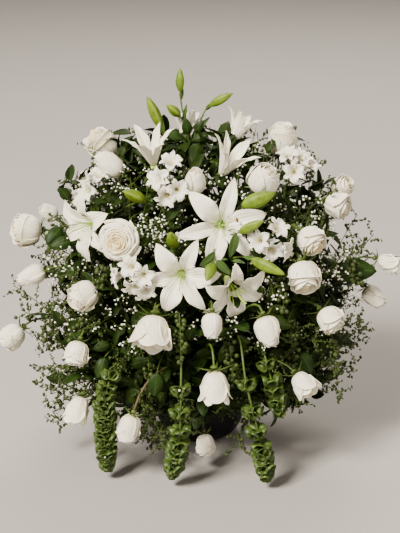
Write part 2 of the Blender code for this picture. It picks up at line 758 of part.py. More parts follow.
def tepal(reach, depth, fall, half_width, curve, turn, matrix):
    """One petal of a lily: out of the throat, over the rim and back at its tip."""
    out = (0.002, 0.016, 0.45 * reach, reach)
    rise = (0.006, curve[0] * depth, curve[1] * depth, depth * (1 - fall))
    radial = Vector((math.cos(turn), math.sin(turn), 0))
    tangent = Vector((-math.sin(turn), math.cos(turn), 0))

    def point(u, v):
        weights = ((1 - v) ** 3, 3 * v * (1 - v) ** 2, 3 * v * v * (1 - v), v ** 3)
        r = sum(w * value for w, value in zip(weights, out))
        z = sum(w * value for w, value in zip(weights, rise))
        width = min(half_width * math.sin(math.pi * v ** 1.15) ** 0.8, 0.56 * r) if v < 0.999 else 0
        raised = Vector((0, 0, z + 0.22 * width * u * u))
        return radial * (r - 0.18 * width * abs(u)) + tangent * (u * width) + raised

    return blade(point, 2, 3, matrix)


def make_lily(name, foot, azimuth, elevation, turn, reach, depth, fall, is_open):
    matrix = aim(Vector(foot), heading(azimuth, elevation))
    base = math.radians(turn)
    widths, curve = LILY_PETALS[is_open]
    keep(name, lily_throat(depth, base, matrix, is_open))
    for number in range(6):
        outer = number % 2
        size = (reach * LILY_OUTER_REACH, depth * LILY_OUTER_DEPTH) if outer else (reach, depth)
        keep(name, tepal(*size, fall, widths[outer], curve, base + math.tau * number / 6, matrix))
    finish_of[name] = "white_lily"


def lily_throat(depth, turn, matrix, is_open):
    """The solid throat that six petals grow from; in an open bloom with pistil and stamens."""
    top = [(0.019, 0.0026), (1.30 * depth, 0)] if is_open else [(0.019, 0)]
    bm = spindle_mesh([(0, 0), (0.002, 0.0045), (0.016, 0.0065)] + top, 6)
    walls = [face for face in bm.faces if len(face.verts) == 4]
    for face in walls:
        base = face.calc_center_median()
        if base.z < 0.017:
            continue
        outward = Vector((base.x, base.y, 0)).normalized()
        out = (outward * 0.22 + Vector((0, 0, 1))).normalized()
        across = Vector((0, 0, 1)).cross(outward)
        frame = (out, across, out.cross(across))
        grow_arm(bm, face, base, frame, ([(1.02 * depth, 0.0011, 0.0011, 0)], (1.10 * depth, 0)))
    bm.transform(matrix @ Matrix.Rotation(turn, 4, "Z"))
    return Piece(bm)


def lily_bud(owner, foot, tip, width):
    length = (tip - foot).length
    rings = [(-0.003, 0), (0.20, 0.80), (0.55, 1.0), (0.90, 0.42), (1.0, 0)]
    sized = [(rings[0][0], 0)] + [(z * length, r * width / 2) for z, r in rings[1:]]
    keep(owner, spindle(sized, 6, aim(foot, tip - foot)))


def grow_lilies(owner, rng):
    add_peg(owner, "lily_green")
    fork = Vector(LILY_FORKS[owner])
    up = (fork - root_of(owner)[0]).normalized()
    radii = (LILY_STEM_RADIUS, LILY_STEM_RADIUS * 0.9)
    stem = clear_stem(
        owner, fork, up,
        lambda points: Stem(points, *radii, (0, 0.3, 0.6, 1), (0.85,), 0.005),
    )
    grow_arms(owner, stem, leaf_shape(LILY_LEAF), 0.7, rng, 0.8, 0.3)
    keep(owner, stem.piece())
    start = (fork - up * 0.002, up)
    for foot, tip, width in LILY_BUDS[owner]:
        foot, tip = Vector(foot), Vector(tip)
        way = (tip - foot).normalized()
        lily_bud(owner, foot, tip, width)
        stalk = plain((PEDICEL_RADIUS, PEDICEL_RADIUS), 3)
        keep(owner, clear_stem(owner, foot + way * 0.003, way, stalk, (), start).piece())
    for name, (foot, azimuth, elevation, *_) in LILIES[owner].items():
        facing = heading(azimuth, elevation)
        end = Vector(foot) - facing * GAP
        stalk = plain((LILY_STEM_RADIUS * 0.8, LILY_STEM_RADIUS * 0.7), 3)
        keep(owner, clear_stem(owner, end, facing, stalk, (name,), start).piece())


# Alstroemeria

def alstroemeria_flower(fork, foot, facing, turn):
    """A stalk that widens into a small trumpet of six petals, three wide and three narrow."""
    stalk = (foot - fork).length
    bm = spindle_mesh([(-stalk, 0), (-0.002, 0.0028), (0.006, 0.0036), (0.009, 0)], 6)
    walls = [face for face in bm.faces if len(face.verts) == 4]
    for face in walls:
        base = face.calc_center_median()
        outward = Vector((base.x, base.y, 0)).normalized()
        wide = int((math.atan2(base.y, base.x) % math.tau) / math.tau * 6) % 2 == 0
        out = (outward * 0.62 + Vector((0, 0, 1))).normalized()
        across = Vector((0, 0, 1)).cross(outward)
        section = (0.6 * ALSTROEMERIA_PETAL, 0.0078 if wide else 0.0050, 0.0006, 0.0015)
        end = (ALSTROEMERIA_PETAL, 0.006 if wide else 0.002)
        grow_arm(bm, face, base, (out, across, out.cross(across)), ([section], end))
    bm.transform(aim(foot, facing, turn))
    for vert in bm.verts:
        if (vert.co - foot).dot(facing) < -0.9 * stalk:
            vert.co = fork
    return Piece(bm)


def grow_alstroemeria(owner, rng):
    add_peg(owner, "white_alstroemeria")
    for middle, azimuth, elevation, flowers in ALSTROEMERIA[owner]:
        middle, facing = Vector(middle), heading(azimuth, elevation)
        fork = middle - facing * ALSTROEMERIA_STALK
        stem = clear_stem(owner, fork, facing, plain((0.0022, 0.0018), 5))
        keep(owner, stem.piece())
        side = facing.orthogonal().normalized()
        for number in range(flowers):
            out = Matrix.Rotation(math.tau * number / flowers + 0.4, 3, facing) @ side
            for spread in (0.024, 0.018, 0.030):
                foot = middle - facing * 0.012 + out * spread
                way = (facing + out * ALSTROEMERIA_LEAN).normalized()
                flower = alstroemeria_flower(fork - stem.way * 0.006, foot, way, rng.uniform(0, 1))
                if keep_if_clear(owner, flower):
                    break


# Bells of Ireland

def bell_shape(rng):
    scale = rng.uniform(0.85, 1.1)
    return [(BELL_LENGTH * scale, BELL_RADIUS * scale, BELL_RADIUS * scale, 0)], (BELL_LENGTH * 0.4, 0)


def grow_bells(owner, rng):
    add_peg(owner, "bell_green")
    route, first = BELL_ROUTES[owner]
    root, direction = root_of(owner)
    points = smooth_route([root, root + direction * 0.02] + [Vector(point) for point in route], 24)
    length = sum((b - a).length for a, b in zip(points, points[1:]))
    whorls = int((1 - first) * length / BELL_STEP)
    nodes = [first + (1 - first) * (number + 0.5) / whorls for number in range(whorls)]
    shares = [first * number / 4 for number in range(5)] + [1]
    stem = Stem(points, 0.0030, 0.0022, shares, nodes, 0.006, math.pi / 4)
    grow_arms(owner, stem, bell_shape, 0.45, rng)
    keep(owner, stem.piece())


def smooth_route(corners, count):
    """Points at even steps on a smooth curve through the corners."""
    padded = [corners[0] * 2 - corners[1]] + corners + [corners[-1] * 2 - corners[-2]]
    curve = []
    for a, b, c, d in zip(padded, padded[1:], padded[2:], padded[3:]):
        for step in range(8):
            t = step / 8
            curve.append(0.5 * (2 * b + (c - a) * t + (2 * a - 5 * b + 4 * c - d) * t ** 2
                                + (3 * b - a - 3 * c + d) * t ** 3))
    curve.append(corners[-1])
    return [along(curve, i / (count - 1))[0] for i in range(count)]


# Fine fillers

def pod_shape(rng):
    """A flat round pod that narrows to its stalk."""
    reach = rng.uniform(0.014, 0.020)
    return [(0.70 * reach, 0.0042, 0.0005, 0)], (reach, 0)


def floret_shape(rng):
    """A thin stalk that ends in a round white floret."""
    reach = rng.uniform(0.016, 0.030)
    return [(reach - 0.003, 0.0004, 0.0004, 0), (reach, 0.0021, 0.0021, 0)], (reach + 0.0022, 0)


def grow_spray(owner, rng):
    """Arching stems to the tips of a bunch, with small arms all round their outer part."""
    kind, targets = SPRAYS[owner]
    finish_name, nodes, lean, radii = SPRAY_KINDS[kind]
    shape_of = {"leaves": leaf_shape(LARGE_LEAF, 0.15), "pods": pod_shape, "florets": floret_shape}[kind]
    add_peg(owner, finish_name)
    for target in targets:
        target = Vector(target)
        way = (target - root_of(owner)[0]).normalized()
        stem = clear_stem(
            owner, target, way,
            lambda points: Stem(points, *radii, (0, 0.30, 0.5, 1), nodes, 0.003, math.pi / 4),
        )
        grow_arms(owner, stem, shape_of, lean, rng, 1.0, 0.35)
        keep(owner, stem.piece())


# Assembly

def sheet(face):
    """Every face that hangs together with one over edges that two faces share."""
    found = {face}
    ring = found
    while ring:
        edges = {edge for item in ring for edge in item.edges if len(edge.link_faces) == 2}
        ring = {item for edge in edges for item in edge.link_faces} - found
        found = found | ring
    return found


def tidy_union(mesh):
    """Cut a union's faces into triangles, without the tiny splinters left where stems graze."""
    bm = bmesh.new()
    bm.from_mesh(mesh)
    bmesh.ops.triangulate(bm, faces=bm.faces)
    left = set(bm.faces)
    while left:
        together = sheet(next(iter(left)))
        left -= together
        if len(together) <= SPLINTER_FACES:
            bmesh.ops.delete(bm, geom=list(together), context="FACES")
    bm.to_mesh(mesh)


def fuse(name, collection):
    """One solid from the pieces of a node, by a single union."""
    objects = []
    for number, piece in enumerate(placed[name]):
        mesh = bpy.data.meshes.new(name)
        piece.bm.to_mesh(mesh)
        mesh.materials.append(finish(finish_of[name]))
        objects.append(bpy.data.objects.new(name if number == 0 else name + "_piece", mesh))
    node, rest = objects[0], objects[1:]
    collection.objects.link(node)
    if not rest:
        return node
    group = bpy.data.collections.new(name + "_pieces")
    bpy.context.scene.collection.children.link(group)
    for obj in rest:
        group.objects.link(obj)
    union = node.modifiers.new("union", "BOOLEAN")
    union.operation = "UNION"
    union.operand_type = "COLLECTION"
    union.collection = group
    union.solver = "MANIFOLD"
    joined = bpy.data.meshes.new_from_object(node.evaluated_get(bpy.context.evaluated_depsgraph_get()))
    tidy_union(joined)
    node.modifiers.clear()
    node.data = joined
    for obj in rest:
        bpy.data.objects.remove(obj)
    bpy.data.collections.remove(group)
    return node


def as_piece(obj):
    mesh = bpy.data.meshes.new_from_object(obj.evaluated_get(bpy.context.evaluated_depsgraph_get()))
    bm = bmesh.new()
    bm.from_mesh(mesh)
    bpy.data.meshes.remove(mesh)
    return Piece(bm)


def main():
    for obj in list(bpy.data.objects):
        bpy.data.objects.remove(obj)
    arrangement = bpy.data.collections.new("casket_flower_arrangement")
    cutters = bpy.data.collections.new("foam_holes")
    for collection in (arrangement, cutters):
        bpy.context.scene.collection.children.link(collection)

    bowl = make_bowl(arrangement)
    foam = turned("foam_blank", foam_profile(), FOAM_STEPS, "wet_foam", arrangement)
    keep("bowl", as_piece(bowl))
    keep("foam", as_piece(foam))
    bpy.data.objects.remove(foam)
    make_foam(arrangement, cutters)

    rng = random.Random(7)
    for roses in ROSES.values():
        for name, values in roses.items():
            make_rose(name, *values)
    for lilies in LILIES.values():
        for name, values in lilies.items():
            make_lily(name, *values)
    for owner in BELL_ROUTES:
        grow_bells(owner, rng)
    for owner in LILY_FORKS:
        grow_lilies(owner, rng)
    for owner, roses in ROSES.items():
        grow_roses(owner, roses, rng)
    for owner in ALSTROEMERIA:
        grow_alstroemeria(owner, rng)
    for owner in SPRAYS:
        grow_spray(owner, rng)
    for name in placed:
        if name not in ("bowl", "foam"):
            fuse(name, arrangement)


main()
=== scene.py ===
import math
import random

import bmesh
import bpy
from mathutils import Matrix, Vector, noise


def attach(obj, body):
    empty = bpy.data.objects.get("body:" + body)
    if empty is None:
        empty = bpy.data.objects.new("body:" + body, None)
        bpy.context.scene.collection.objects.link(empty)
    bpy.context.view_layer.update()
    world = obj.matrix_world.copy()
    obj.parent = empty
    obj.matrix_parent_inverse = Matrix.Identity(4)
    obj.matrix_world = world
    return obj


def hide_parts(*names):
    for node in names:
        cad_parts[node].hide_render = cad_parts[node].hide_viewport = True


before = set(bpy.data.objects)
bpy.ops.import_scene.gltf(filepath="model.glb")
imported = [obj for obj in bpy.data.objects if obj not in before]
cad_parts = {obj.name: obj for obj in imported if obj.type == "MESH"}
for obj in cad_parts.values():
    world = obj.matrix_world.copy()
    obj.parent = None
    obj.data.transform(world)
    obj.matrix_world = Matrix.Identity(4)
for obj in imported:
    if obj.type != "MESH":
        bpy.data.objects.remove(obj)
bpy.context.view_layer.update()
draw = random.Random()  # every chance in the file comes from here
layout = 0  # another number gives every piece another layout
mergeGap = 1e-6
goldenTurn = 2.4  # between one leaf or twig and the next, in radians
faceCounts = {}


# directions and curves

def heading(azimuth, elevation):  # 0, 0 looks at the viewer
    a, e = math.radians(azimuth), math.radians(elevation)
    return Vector((math.sin(a) * math.cos(e), -math.cos(a) * math.cos(e), math.sin(e)))


def raised(height):
    return Vector((0, 0, height))


def onRing(angle, radius, height=0.0):
    return Vector((radius * math.cos(angle), radius * math.sin(angle), height))


def roundAxis(angle):  # outward from +Z, and along the turn
    radial = onRing(angle, 1)
    return radial, Vector((-radial.y, radial.x, 0))


def aim(place, facing, roll=0.0):  # stands a shape's +Z along facing
    turn = facing.to_track_quat("Z", "Y").to_matrix().to_4x4()
    return Matrix.Translation(place) @ turn @ Matrix.Rotation(roll, 4, "Z")


def lay(place, along, outward, size):  # a leaf's +Y along its way, its face turned outward
    y = along.normalized()
    x = y.cross(outward).normalized()
    z = x.cross(y)
    turn = Matrix((x, y, z)).transposed().to_4x4()
    return Matrix.Translation(place) @ turn @ Matrix.Scale(size, 4)


def sideways(way, angle):  # square to a way, at an angle round it
    return Matrix.Rotation(angle, 3, way) @ way.orthogonal().normalized()


def bezier(a, b, c, d, t):
    return a * (1 - t) ** 3 + b * 3 * t * (1 - t) ** 2 + c * 3 * t * t * (1 - t) + d * t ** 3


def arc(a, b, c, d, count):
    return [bezier(a, b, c, d, i / (count - 1)) for i in range(count)]


def onArc(points, share):  # place and direction at a share of the way
    spot = min(share, 0.999) * (len(points) - 1)
    i = int(spot)
    return points[i].lerp(points[i + 1], spot - i), (points[i + 1] - points[i]).normalized()


def sway(amount):
    return Vector((draw.uniform(-1, 1), draw.uniform(-1, 1), draw.uniform(-1, 1))) * amount


# growing meshes

def newPiece(name):  # its own seed, so a change to one piece leaves the others alone
    draw.seed(f"{name} {layout}")
    return newPlant()


def newPlant():
    plant = bmesh.new()
    plant.loops.layers.uv.new("skin")
    return plant


def toMesh(plant, name="part"):  # keeps each face's own finish
    mesh = bpy.data.meshes.new(name)
    plant.to_mesh(mesh)
    plant.free()
    return mesh


def asMesh(plant, finish=0, smooth=True):
    for face in plant.faces:
        face.material_index = finish
        face.smooth = smooth
    return toMesh(plant)


def petalSheet(columns, rows, thickness, shape, finish=0):  # shape takes across, -1 to 1, and along, 0 to 1
    sheet = newPlant()
    bmesh.ops.create_grid(sheet, x_segments=columns, y_segments=rows, size=1, calc_uvs=True)
    for vert in sheet.verts:
        vert.co = shape(vert.co.x, (vert.co.y + 1) / 2)
    bmesh.ops.remove_doubles(sheet, verts=sheet.verts, dist=mergeGap)
    bmesh.ops.solidify(sheet, geom=sheet.verts[:] + sheet.edges[:] + sheet.faces[:], thickness=thickness)
    bmesh.ops.recalc_face_normals(sheet, faces=sheet.faces)
    return asMesh(sheet, finish)


def budShape(columns, rows, shape, finish=0):  # a closed turned form; shape takes angle and rise, 0 to 1
    bud = newPlant()
    bmesh.ops.create_uvsphere(bud, u_segments=columns, v_segments=rows, radius=1, calc_uvs=True)
    for vert in bud.verts:
        rise = 1 - math.acos(max(-1, min(1, vert.co.z))) / math.pi
        vert.co = shape(math.atan2(vert.co.y, vert.co.x), rise)
    bmesh.ops.recalc_face_normals(bud, faces=bud.faces)
    return asMesh(bud, finish)


def place(plant, mesh, matrix=None):
    copy = mesh.copy()
    if matrix is not None:
        copy.transform(matrix)
    plant.from_mesh(copy)
    bpy.data.meshes.remove(copy)


def placeOnce(plant, mesh, matrix=None):
    place(plant, mesh, matrix)
    bpy.data.meshes.remove(mesh)


def addStems(plant, stems, finish, sides):  # stems: lists of (point, radius)
    curve = bpy.data.curves.new("stems", "CURVE")
    curve.dimensions = "3D"
    curve.bevel_depth = 1
    curve.bevel_resolution = sides
    curve.use_fill_caps = True
    for stem in stems:
        spline = curve.splines.new("POLY")
        spline.points.add(len(stem) - 1)
        for knot, (point, radius) in zip(spline.points, stem):
            knot.co = (*point, 1)
            knot.radius = radius
    holder = bpy.data.objects.new("stems", curve)
    mesh = bpy.data.meshes.new_from_object(holder)
    mesh.polygons.foreach_set("material_index", [finish] * len(mesh.polygons))
    plant.from_mesh(mesh)
    bpy.data.objects.remove(holder)
    bpy.data.curves.remove(curve)
    bpy.data.meshes.remove(mesh)


def taper(points, thick, thin):
    last = len(points) - 1
    return [(point, thick + (thin - thick) * i / last) for i, point in enumerate(points)]


def finishPlant(plant, node, slotName, *finishNames):
    faceCounts[node] = sum(len(face.verts) - 2 for face in plant.faces)
    mesh = toMesh(plant, node + "_bloom")
    for name in finishNames:
        mesh.materials.append(bpy.data.materials[name])
    piece = bpy.data.objects.new(node + "_dressed", mesh)
    bpy.context.scene.collection.objects.link(piece)
    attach(piece, "root")
    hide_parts(node)


# finishes

def feed(tree, socket, value):  # links an output, or sets a plain number or colour
    if isinstance(value, bpy.types.NodeSocket):
        tree.links.new(value, socket)
    else:
        socket.default_value = (*value, 1) if isinstance(value, tuple) else value


def addNode(tree, kind, inputs=None, **settings):
    node = tree.nodes.new("ShaderNode" + kind)
    for name, value in settings.items():
        setattr(node, name, value)
    for label, value in (inputs or {}).items():
        feed(tree, node.inputs[label], value)
    return node


def calc(tree, operation, first, second=0):
    return addNode(tree, "Math", {0: first, 1: second}, operation=operation).outputs[0]


def mix(tree, share, first, second, blend="MIX"):
    node = addNode(tree, "Mix", data_type="RGBA", blend_type=blend)
    for number, value in ((0, share), (6, first), (7, second)):  # the share and the two colours
        feed(tree, node.inputs[number], value)
    return node.outputs[2]


def ramp(tree, value, limits, kind="SMOOTHSTEP"):
    return addNode(tree, "MapRange", {"Value": value, **limits}, interpolation_type=kind).outputs[0]


def texture(tree, kind, values):  # a pattern that sits still on the piece
    spot = addNode(tree, "TexCoord").outputs["Object"]
    return addNode(tree, kind, {"Vector": spot, **values}).outputs[0]


def newFinish(name):
    finish = bpy.data.materials.new(name)
    finish.use_nodes = True
    return finish.node_tree, finish.node_tree.nodes["Principled BSDF"].inputs


def addRelief(tree, shader, height, strength, distance):
    bump = addNode(tree, "Bump", {"Height": height, "Strength": strength, "Distance": distance})
    feed(tree, shader["Normal"], bump.outputs[0])


def newSkin(name, values):  # a shader group that puts out a colour, a height and a roughness
    tree = bpy.data.node_groups.new(name, "ShaderNodeTree")
    for label, value in values.items():
        kind = "NodeSocketColor" if isinstance(value, tuple) else "NodeSocketFloat"
        socket = tree.interface.new_socket(name=label, in_out="INPUT", socket_type=kind)
        socket.default_value = (*value, 1) if isinstance(value, tuple) else value
    for label, kind in (("Color", "Color"), ("Height", "Float"), ("Rough", "Float")):
        kind = "NodeSocket" + kind
        tree.interface.new_socket(name=label, in_out="OUTPUT", socket_type=kind)
    given, out = tree.nodes.new("NodeGroupInput").outputs, tree.nodes.new("NodeGroupOutput").inputs
    skin = addNode(tree, "UVMap", uv_map="skin")
    across, along, _ = addNode(tree, "SeparateXYZ", {0: skin.outputs[0]}).outputs
    offMiddle = calc(tree, "ABSOLUTE", calc(tree, "SUBTRACT", across, 0.5))
    return tree, given, out, along, offMiddle


def makePetalSkin():  # white petal: a tinted foot, faint veins and soft blotches
    tree, given, out, along, offMiddle = newSkin("petalSkin", {
        "Petal": (0.9, 0.89, 0.86), "Foot": (0.7, 0.75, 0.4), "Edge": (0.9, 0.89, 0.86),
        "Foot Length": 0.35, "Veins": 14.0, "Vein Depth": 0.5,
    })
    blotch = texture(tree, "TexNoise", {"Scale": 70, "Detail": 3})
    foot = ramp(tree, along, {"From Max": given["Foot Length"], "To Min": 1, "To Max": 0})
    edge = ramp(tree, along, {"From Min": 0.82})
    plain = mix(tree, edge, mix(tree, foot, given["Petal"], given["Foot"]), given["Edge"])
    fan = calc(tree, "MULTIPLY", calc(tree, "MULTIPLY", offMiddle, given["Veins"]), math.tau)
    ripple = calc(tree, "SINE", calc(tree, "ADD", fan, calc(tree, "MULTIPLY", blotch, 3.0)))
    shade = calc(tree, "MULTIPLY", ripple, calc(tree, "MULTIPLY", given["Vein Depth"], 0.04))
    mottle = calc(tree, "MULTIPLY", calc(tree, "SUBTRACT", blotch, 0.5), 0.12)
    tone = calc(tree, "ADD", 0.965, calc(tree, "ADD", shade, mottle))
    feed(tree, out["Color"], mix(tree, 1, plain, tone, "MULTIPLY"))
    feed(tree, out["Height"], calc(tree, "ADD", calc(tree, "MULTIPLY", ripple, given["Vein Depth"]), blotch))
    feed(tree, out["Rough"], calc(tree, "ADD", 0.42, calc(tree, "MULTIPLY", blotch, 0.22)))
    return tree


def makeLeafSkin():  # leaf: two greens in patches, a paler midrib and slanting side veins
    tree, given, out, along, offMiddle = newSkin("leafSkin", {
        "Light": (0.1, 0.2, 0.05), "Dark": (0.03, 0.08, 0.02), "Rib": (0.2, 0.3, 0.1),
        "Patch Size": 30.0, "Veins": 9.0, "Slant": 1.2, "Roughness": 0.4,
    })
    patch = texture(tree, "TexNoise", {"Scale": given["Patch Size"], "Detail": 4})
    spread = ramp(tree, patch, {"From Min": 0.3, "From Max": 0.7}, "LINEAR")
    green = mix(tree, spread, given["Dark"], given["Light"])
    rib = ramp(tree, offMiddle, {"From Max": 0.06, "To Min": 0.8, "To Max": 0})
    slanted = calc(tree, "SUBTRACT", along, calc(tree, "MULTIPLY", offMiddle, given["Slant"]))
    turns = calc(tree, "MULTIPLY", calc(tree, "MULTIPLY", slanted, given["Veins"]), math.tau)
    vein = ramp(tree, calc(tree, "SINE", turns), {"From Min": 0.75, "To Max": 0.35}, "LINEAR")
    lines = calc(tree, "MAXIMUM", rib, vein)
    uneven = calc(tree, "MULTIPLY", calc(tree, "SUBTRACT", patch, 0.5), 0.3)
    feed(tree, out["Color"], mix(tree, lines, green, given["Rib"]))
    feed(tree, out["Height"], calc(tree, "SUBTRACT", calc(tree, "MULTIPLY", patch, 0.5), lines))
    feed(tree, out["Rough"], calc(tree, "ADD", given["Roughness"], uneven))
    return tree


def wearSkin(name, skin, values, relief, sheen, seeThrough, shine):
    tree, shader = newFinish(name)
    group = addNode(tree, "Group", node_tree=skin)
    for socket, value in zip(group.inputs, values):
        feed(tree, socket, value)
    feed(tree, shader["Base Color"], group.outputs["Color"])
    feed(tree, shader["Roughness"], group.outputs["Rough"])
    addRelief(tree, shader, group.outputs["Height"], 0.5, relief)
    shader["Sheen Weight"].default_value = sheen
    shader["Specular IOR Level"].default_value = shine
    shader["Subsurface Weight"].default_value = seeThrough
    shader["Subsurface Radius"].default_value = (0.006, 0.005, 0.004)
    shader["Subsurface Scale"].default_value = 1


petalShine = 0.35
# colours of petal, foot and edge, length of the foot, veins and their depth;
# then relief, sheen and light let through
petalFinishes = {
    "rosePetal": ((0.90, 0.83, 0.64), (0.66, 0.64, 0.30), (0.93, 0.88, 0.74),
                  0.30, 9.0, 0.5, 0.0004, 0.15, 0.22),
    "roseHeart": ((0.94, 0.77, 0.42), (0.86, 0.64, 0.28), (0.95, 0.83, 0.55),
                  0.55, 9.0, 0.3, 0.0003, 0.15, 0.30),
    "lilyPetal": ((0.91, 0.86, 0.69), (0.42, 0.50, 0.08), (0.88, 0.84, 0.62),
                  0.30, 6.0, 0.8, 0.0007, 0.05, 0.14),
    "lilyHeart": ((0.50, 0.66, 0.16), (0.30, 0.48, 0.06), (0.42, 0.56, 0.12),
                  0.50, 5.0, 0.2, 0.0002, 0.0, 0.0),
    "alstroemeriaPetal": ((0.90, 0.86, 0.75), (0.60, 0.62, 0.26), (0.80, 0.80, 0.55),
                          0.32, 6.0, 1.6, 0.0006, 0.0, 0.10),
    "alstroemeriaStreak": ((0.89, 0.85, 0.70), (0.66, 0.62, 0.28), (0.88, 0.85, 0.74),
                           0.45, 4.0, 2.4, 0.0004, 0.0, 0.10),
    "gypsophilaFloret": ((0.88, 0.86, 0.76), (0.66, 0.72, 0.42), (0.90, 0.88, 0.80),
                         0.30, 3.0, 0.2, 0.0002, 0.0, 0.0),
}
# light, dark and rib colours, patch size, veins, their slant, roughness;
# then relief, light let through and shine
leafFinishes = {
    "lilyAnther": ((0.20, 0.095, 0.018), (0.09, 0.040, 0.010), (0.14, 0.06, 0.01),
                   400.0, 1.0, 1.2, 0.85, 0.0004, 0.0, 0.35),
    "roseLeafGreen": ((0.018, 0.040, 0.005), (0.005, 0.015, 0.002), (0.035, 0.062, 0.011),
                      45.0, 8.0, 1.1, 0.46, 0.0006, 0.0, 0.14),
    "fillerGreen": ((0.015, 0.030, 0.0025), (0.004, 0.010, 0.001), (0.026, 0.045, 0.007),
                    38.0, 7.0, 0.9, 0.55, 0.0006, 0.0, 0.10),
    "lilyLeafGreen": ((0.045, 0.090, 0.010), (0.016, 0.045, 0.006), (0.08, 0.13, 0.025),
                      30.0, 0.4, 14.0, 0.42, 0.0005, 0.0, 0.35),
    "lilyBudGreen": ((0.165, 0.235, 0.007), (0.045, 0.095, 0.004), (0.22, 0.28, 0.025),
                     55.0, 0.6, 9.0, 0.50, 0.0005, 0.0, 0.35),
    "bellGreen": ((0.050, 0.088, 0.009), (0.015, 0.036, 0.004), (0.13, 0.18, 0.035),
                  60.0, 1.0, 9.0, 0.48, 0.0005, 0.06, 0.35),
    "podGreen": ((0.045, 0.064, 0.006), (0.012, 0.024, 0.003), (0.05, 0.07, 0.012),
                 90.0, 1.0, 0.3, 0.55, 0.0004, 0.0, 0.35),
    "stemGreen": ((0.075, 0.115, 0.014), (0.028, 0.055, 0.007), (0.08, 0.11, 0.02),
                  140.0, 1.0, 0.3, 0.48, 0.0003, 0.0, 0.35),
    "stemBrown": ((0.11, 0.078, 0.028), (0.05, 0.040, 0.014), (0.08, 0.06, 0.025),
                  120.0, 1.0, 0.3, 0.60, 0.0004, 0.0, 0.35),
}
petalSkin, leafSkin = makePetalSkin(), makeLeafSkin()
for name, (*values, relief, sheen, seeThrough) in petalFinishes.items():
    wearSkin(name, petalSkin, values, relief, sheen, seeThrough, petalShine)
for name, (*values, relief, seeThrough, shine) in leafFinishes.items():
    wearSkin(name, leafSkin, values, relief, 0.0, seeThrough, shine)
print("finishes ready")


# camera, light and floor

stageLook = {
    "target": (0, 0, 0.375), "distance": 3.0, "elevation": 18, "lens": 96.5, "sensor": 36,
    "floor": (0.33, 0.31, 0.29), "floorSize": 30, "speckle": 1.04, "floorRough": 0.9,
    "air": (1.0, 0.93, 0.84), "airStrength": 0.31, "lampColour": (1.0, 0.93, 0.82),
    "lamps": {  # place, size and power
        "key": ((-3.4, -4.4, 5.4), 2.2, 1850),
        "fill": ((5.0, -4.0, 2.6), 4.4, 150),
        "back": ((1.0, 4.4, 5.0), 2.8, 420),
    },
}


def addToScene(name, data):
    thing = bpy.data.objects.new(name, data)
    bpy.context.scene.collection.objects.link(thing)
    return thing


def setStage(look):
    camera = addToScene("camera", bpy.data.cameras.new("camera"))
    away = heading(0, look["elevation"]) * look["distance"]
    camera.location = Vector(look["target"]) + away
    camera.rotation_euler = (-away).to_track_quat("-Z", "Y").to_euler()
    camera.data.lens = look["lens"]
    camera.data.sensor_width = look["sensor"]
    bpy.context.scene.camera = camera
    for name, (spot, size, power) in look["lamps"].items():
        lamp = addToScene(name, bpy.data.lights.new(name, "AREA"))
        lamp.data.size = size
        lamp.data.energy = power
        lamp.data.color = look["lampColour"]
        lamp.location = spot
        lamp.rotation_euler = (Vector(look["target"]) - Vector(spot)).to_track_quat("-Z", "Y").to_euler()
    world = bpy.data.worlds.new("air")
    world.use_nodes = True
    air = world.node_tree.nodes["Background"].inputs
    air[0].default_value = (*look["air"], 1)
    air[1].default_value = look["airStrength"]
    bpy.context.scene.world = world
    ground = bmesh.new()
    bmesh.ops.create_grid(ground, x_segments=1, y_segments=1, size=look["floorSize"])
    floor = addToScene("floor", toMesh(ground, "floor"))
    tree, shader = newFinish("floorPale")
    paler = tuple(colour * look["speckle"] for colour in look["floor"])
    feed(tree, shader["Base Color"], mix(tree, texture(tree, "TexNoise", {"Scale": 3}), look["floor"], paler))
    shader["Roughness"].default_value = look["floorRough"]
    floor.data.materials.append(bpy.data.materials["floorPale"])


setStage(stageLook)


# bowl and foam

bowlSize = {
    "height": 0.115, "foot": 0.052, "belly": 0.097, "bellyHeight": 0.072, "rim": 0.088, "wall": 0.003,
    "rings": 24, "steps": 96,
}
bowlLook = {
    "dark": (0.003, 0.003, 0.0035), "pale": (0.009, 0.009, 0.0095), "rough": 0.28, "uneven": 0.25,
    "shine": 0.14,
}
foamSize = {
    "centre": 0.115, "radius": 0.079, "dome": 0.07, "foot": 0.045, "shoulder": 0.07, "gap": 0.0005,
    "crumb": 0.0012, "steps": 72,
}
foamLook = {"dark": (0.012, 0.035, 0.015), "pale": (0.035, 0.085, 0.035), "cells": 420, "rough": 0.95}


def bowlRadius(height):
    size = bowlSize
    if height < size["bellyHeight"]:
        rise = 1 - height / size["bellyHeight"]
        return size["foot"] + (size["belly"] - size["foot"]) * math.sqrt(1 - rise ** 2)
    rise = (height - size["bellyHeight"]) / (size["height"] - size["bellyHeight"])
    return size["rim"] + (size["belly"] - size["rim"]) * math.cos(rise * math.pi / 2)


def turnProfile(profile, steps):
    shape = newPlant()
    verts = [shape.verts.new((radius, 0, height)) for radius, height in profile]
    for first, second in zip(verts, verts[1:]):
        shape.edges.new((first, second))
    bmesh.ops.spin(shape, geom=shape.verts[:] + shape.edges[:], axis=(0, 0, 1), cent=(0, 0, 0),
                   angle=math.tau, steps=steps, use_merge=True)
    bmesh.ops.remove_doubles(shape, verts=shape.verts, dist=mergeGap)
    bmesh.ops.recalc_face_normals(shape, faces=shape.faces)
    return shape


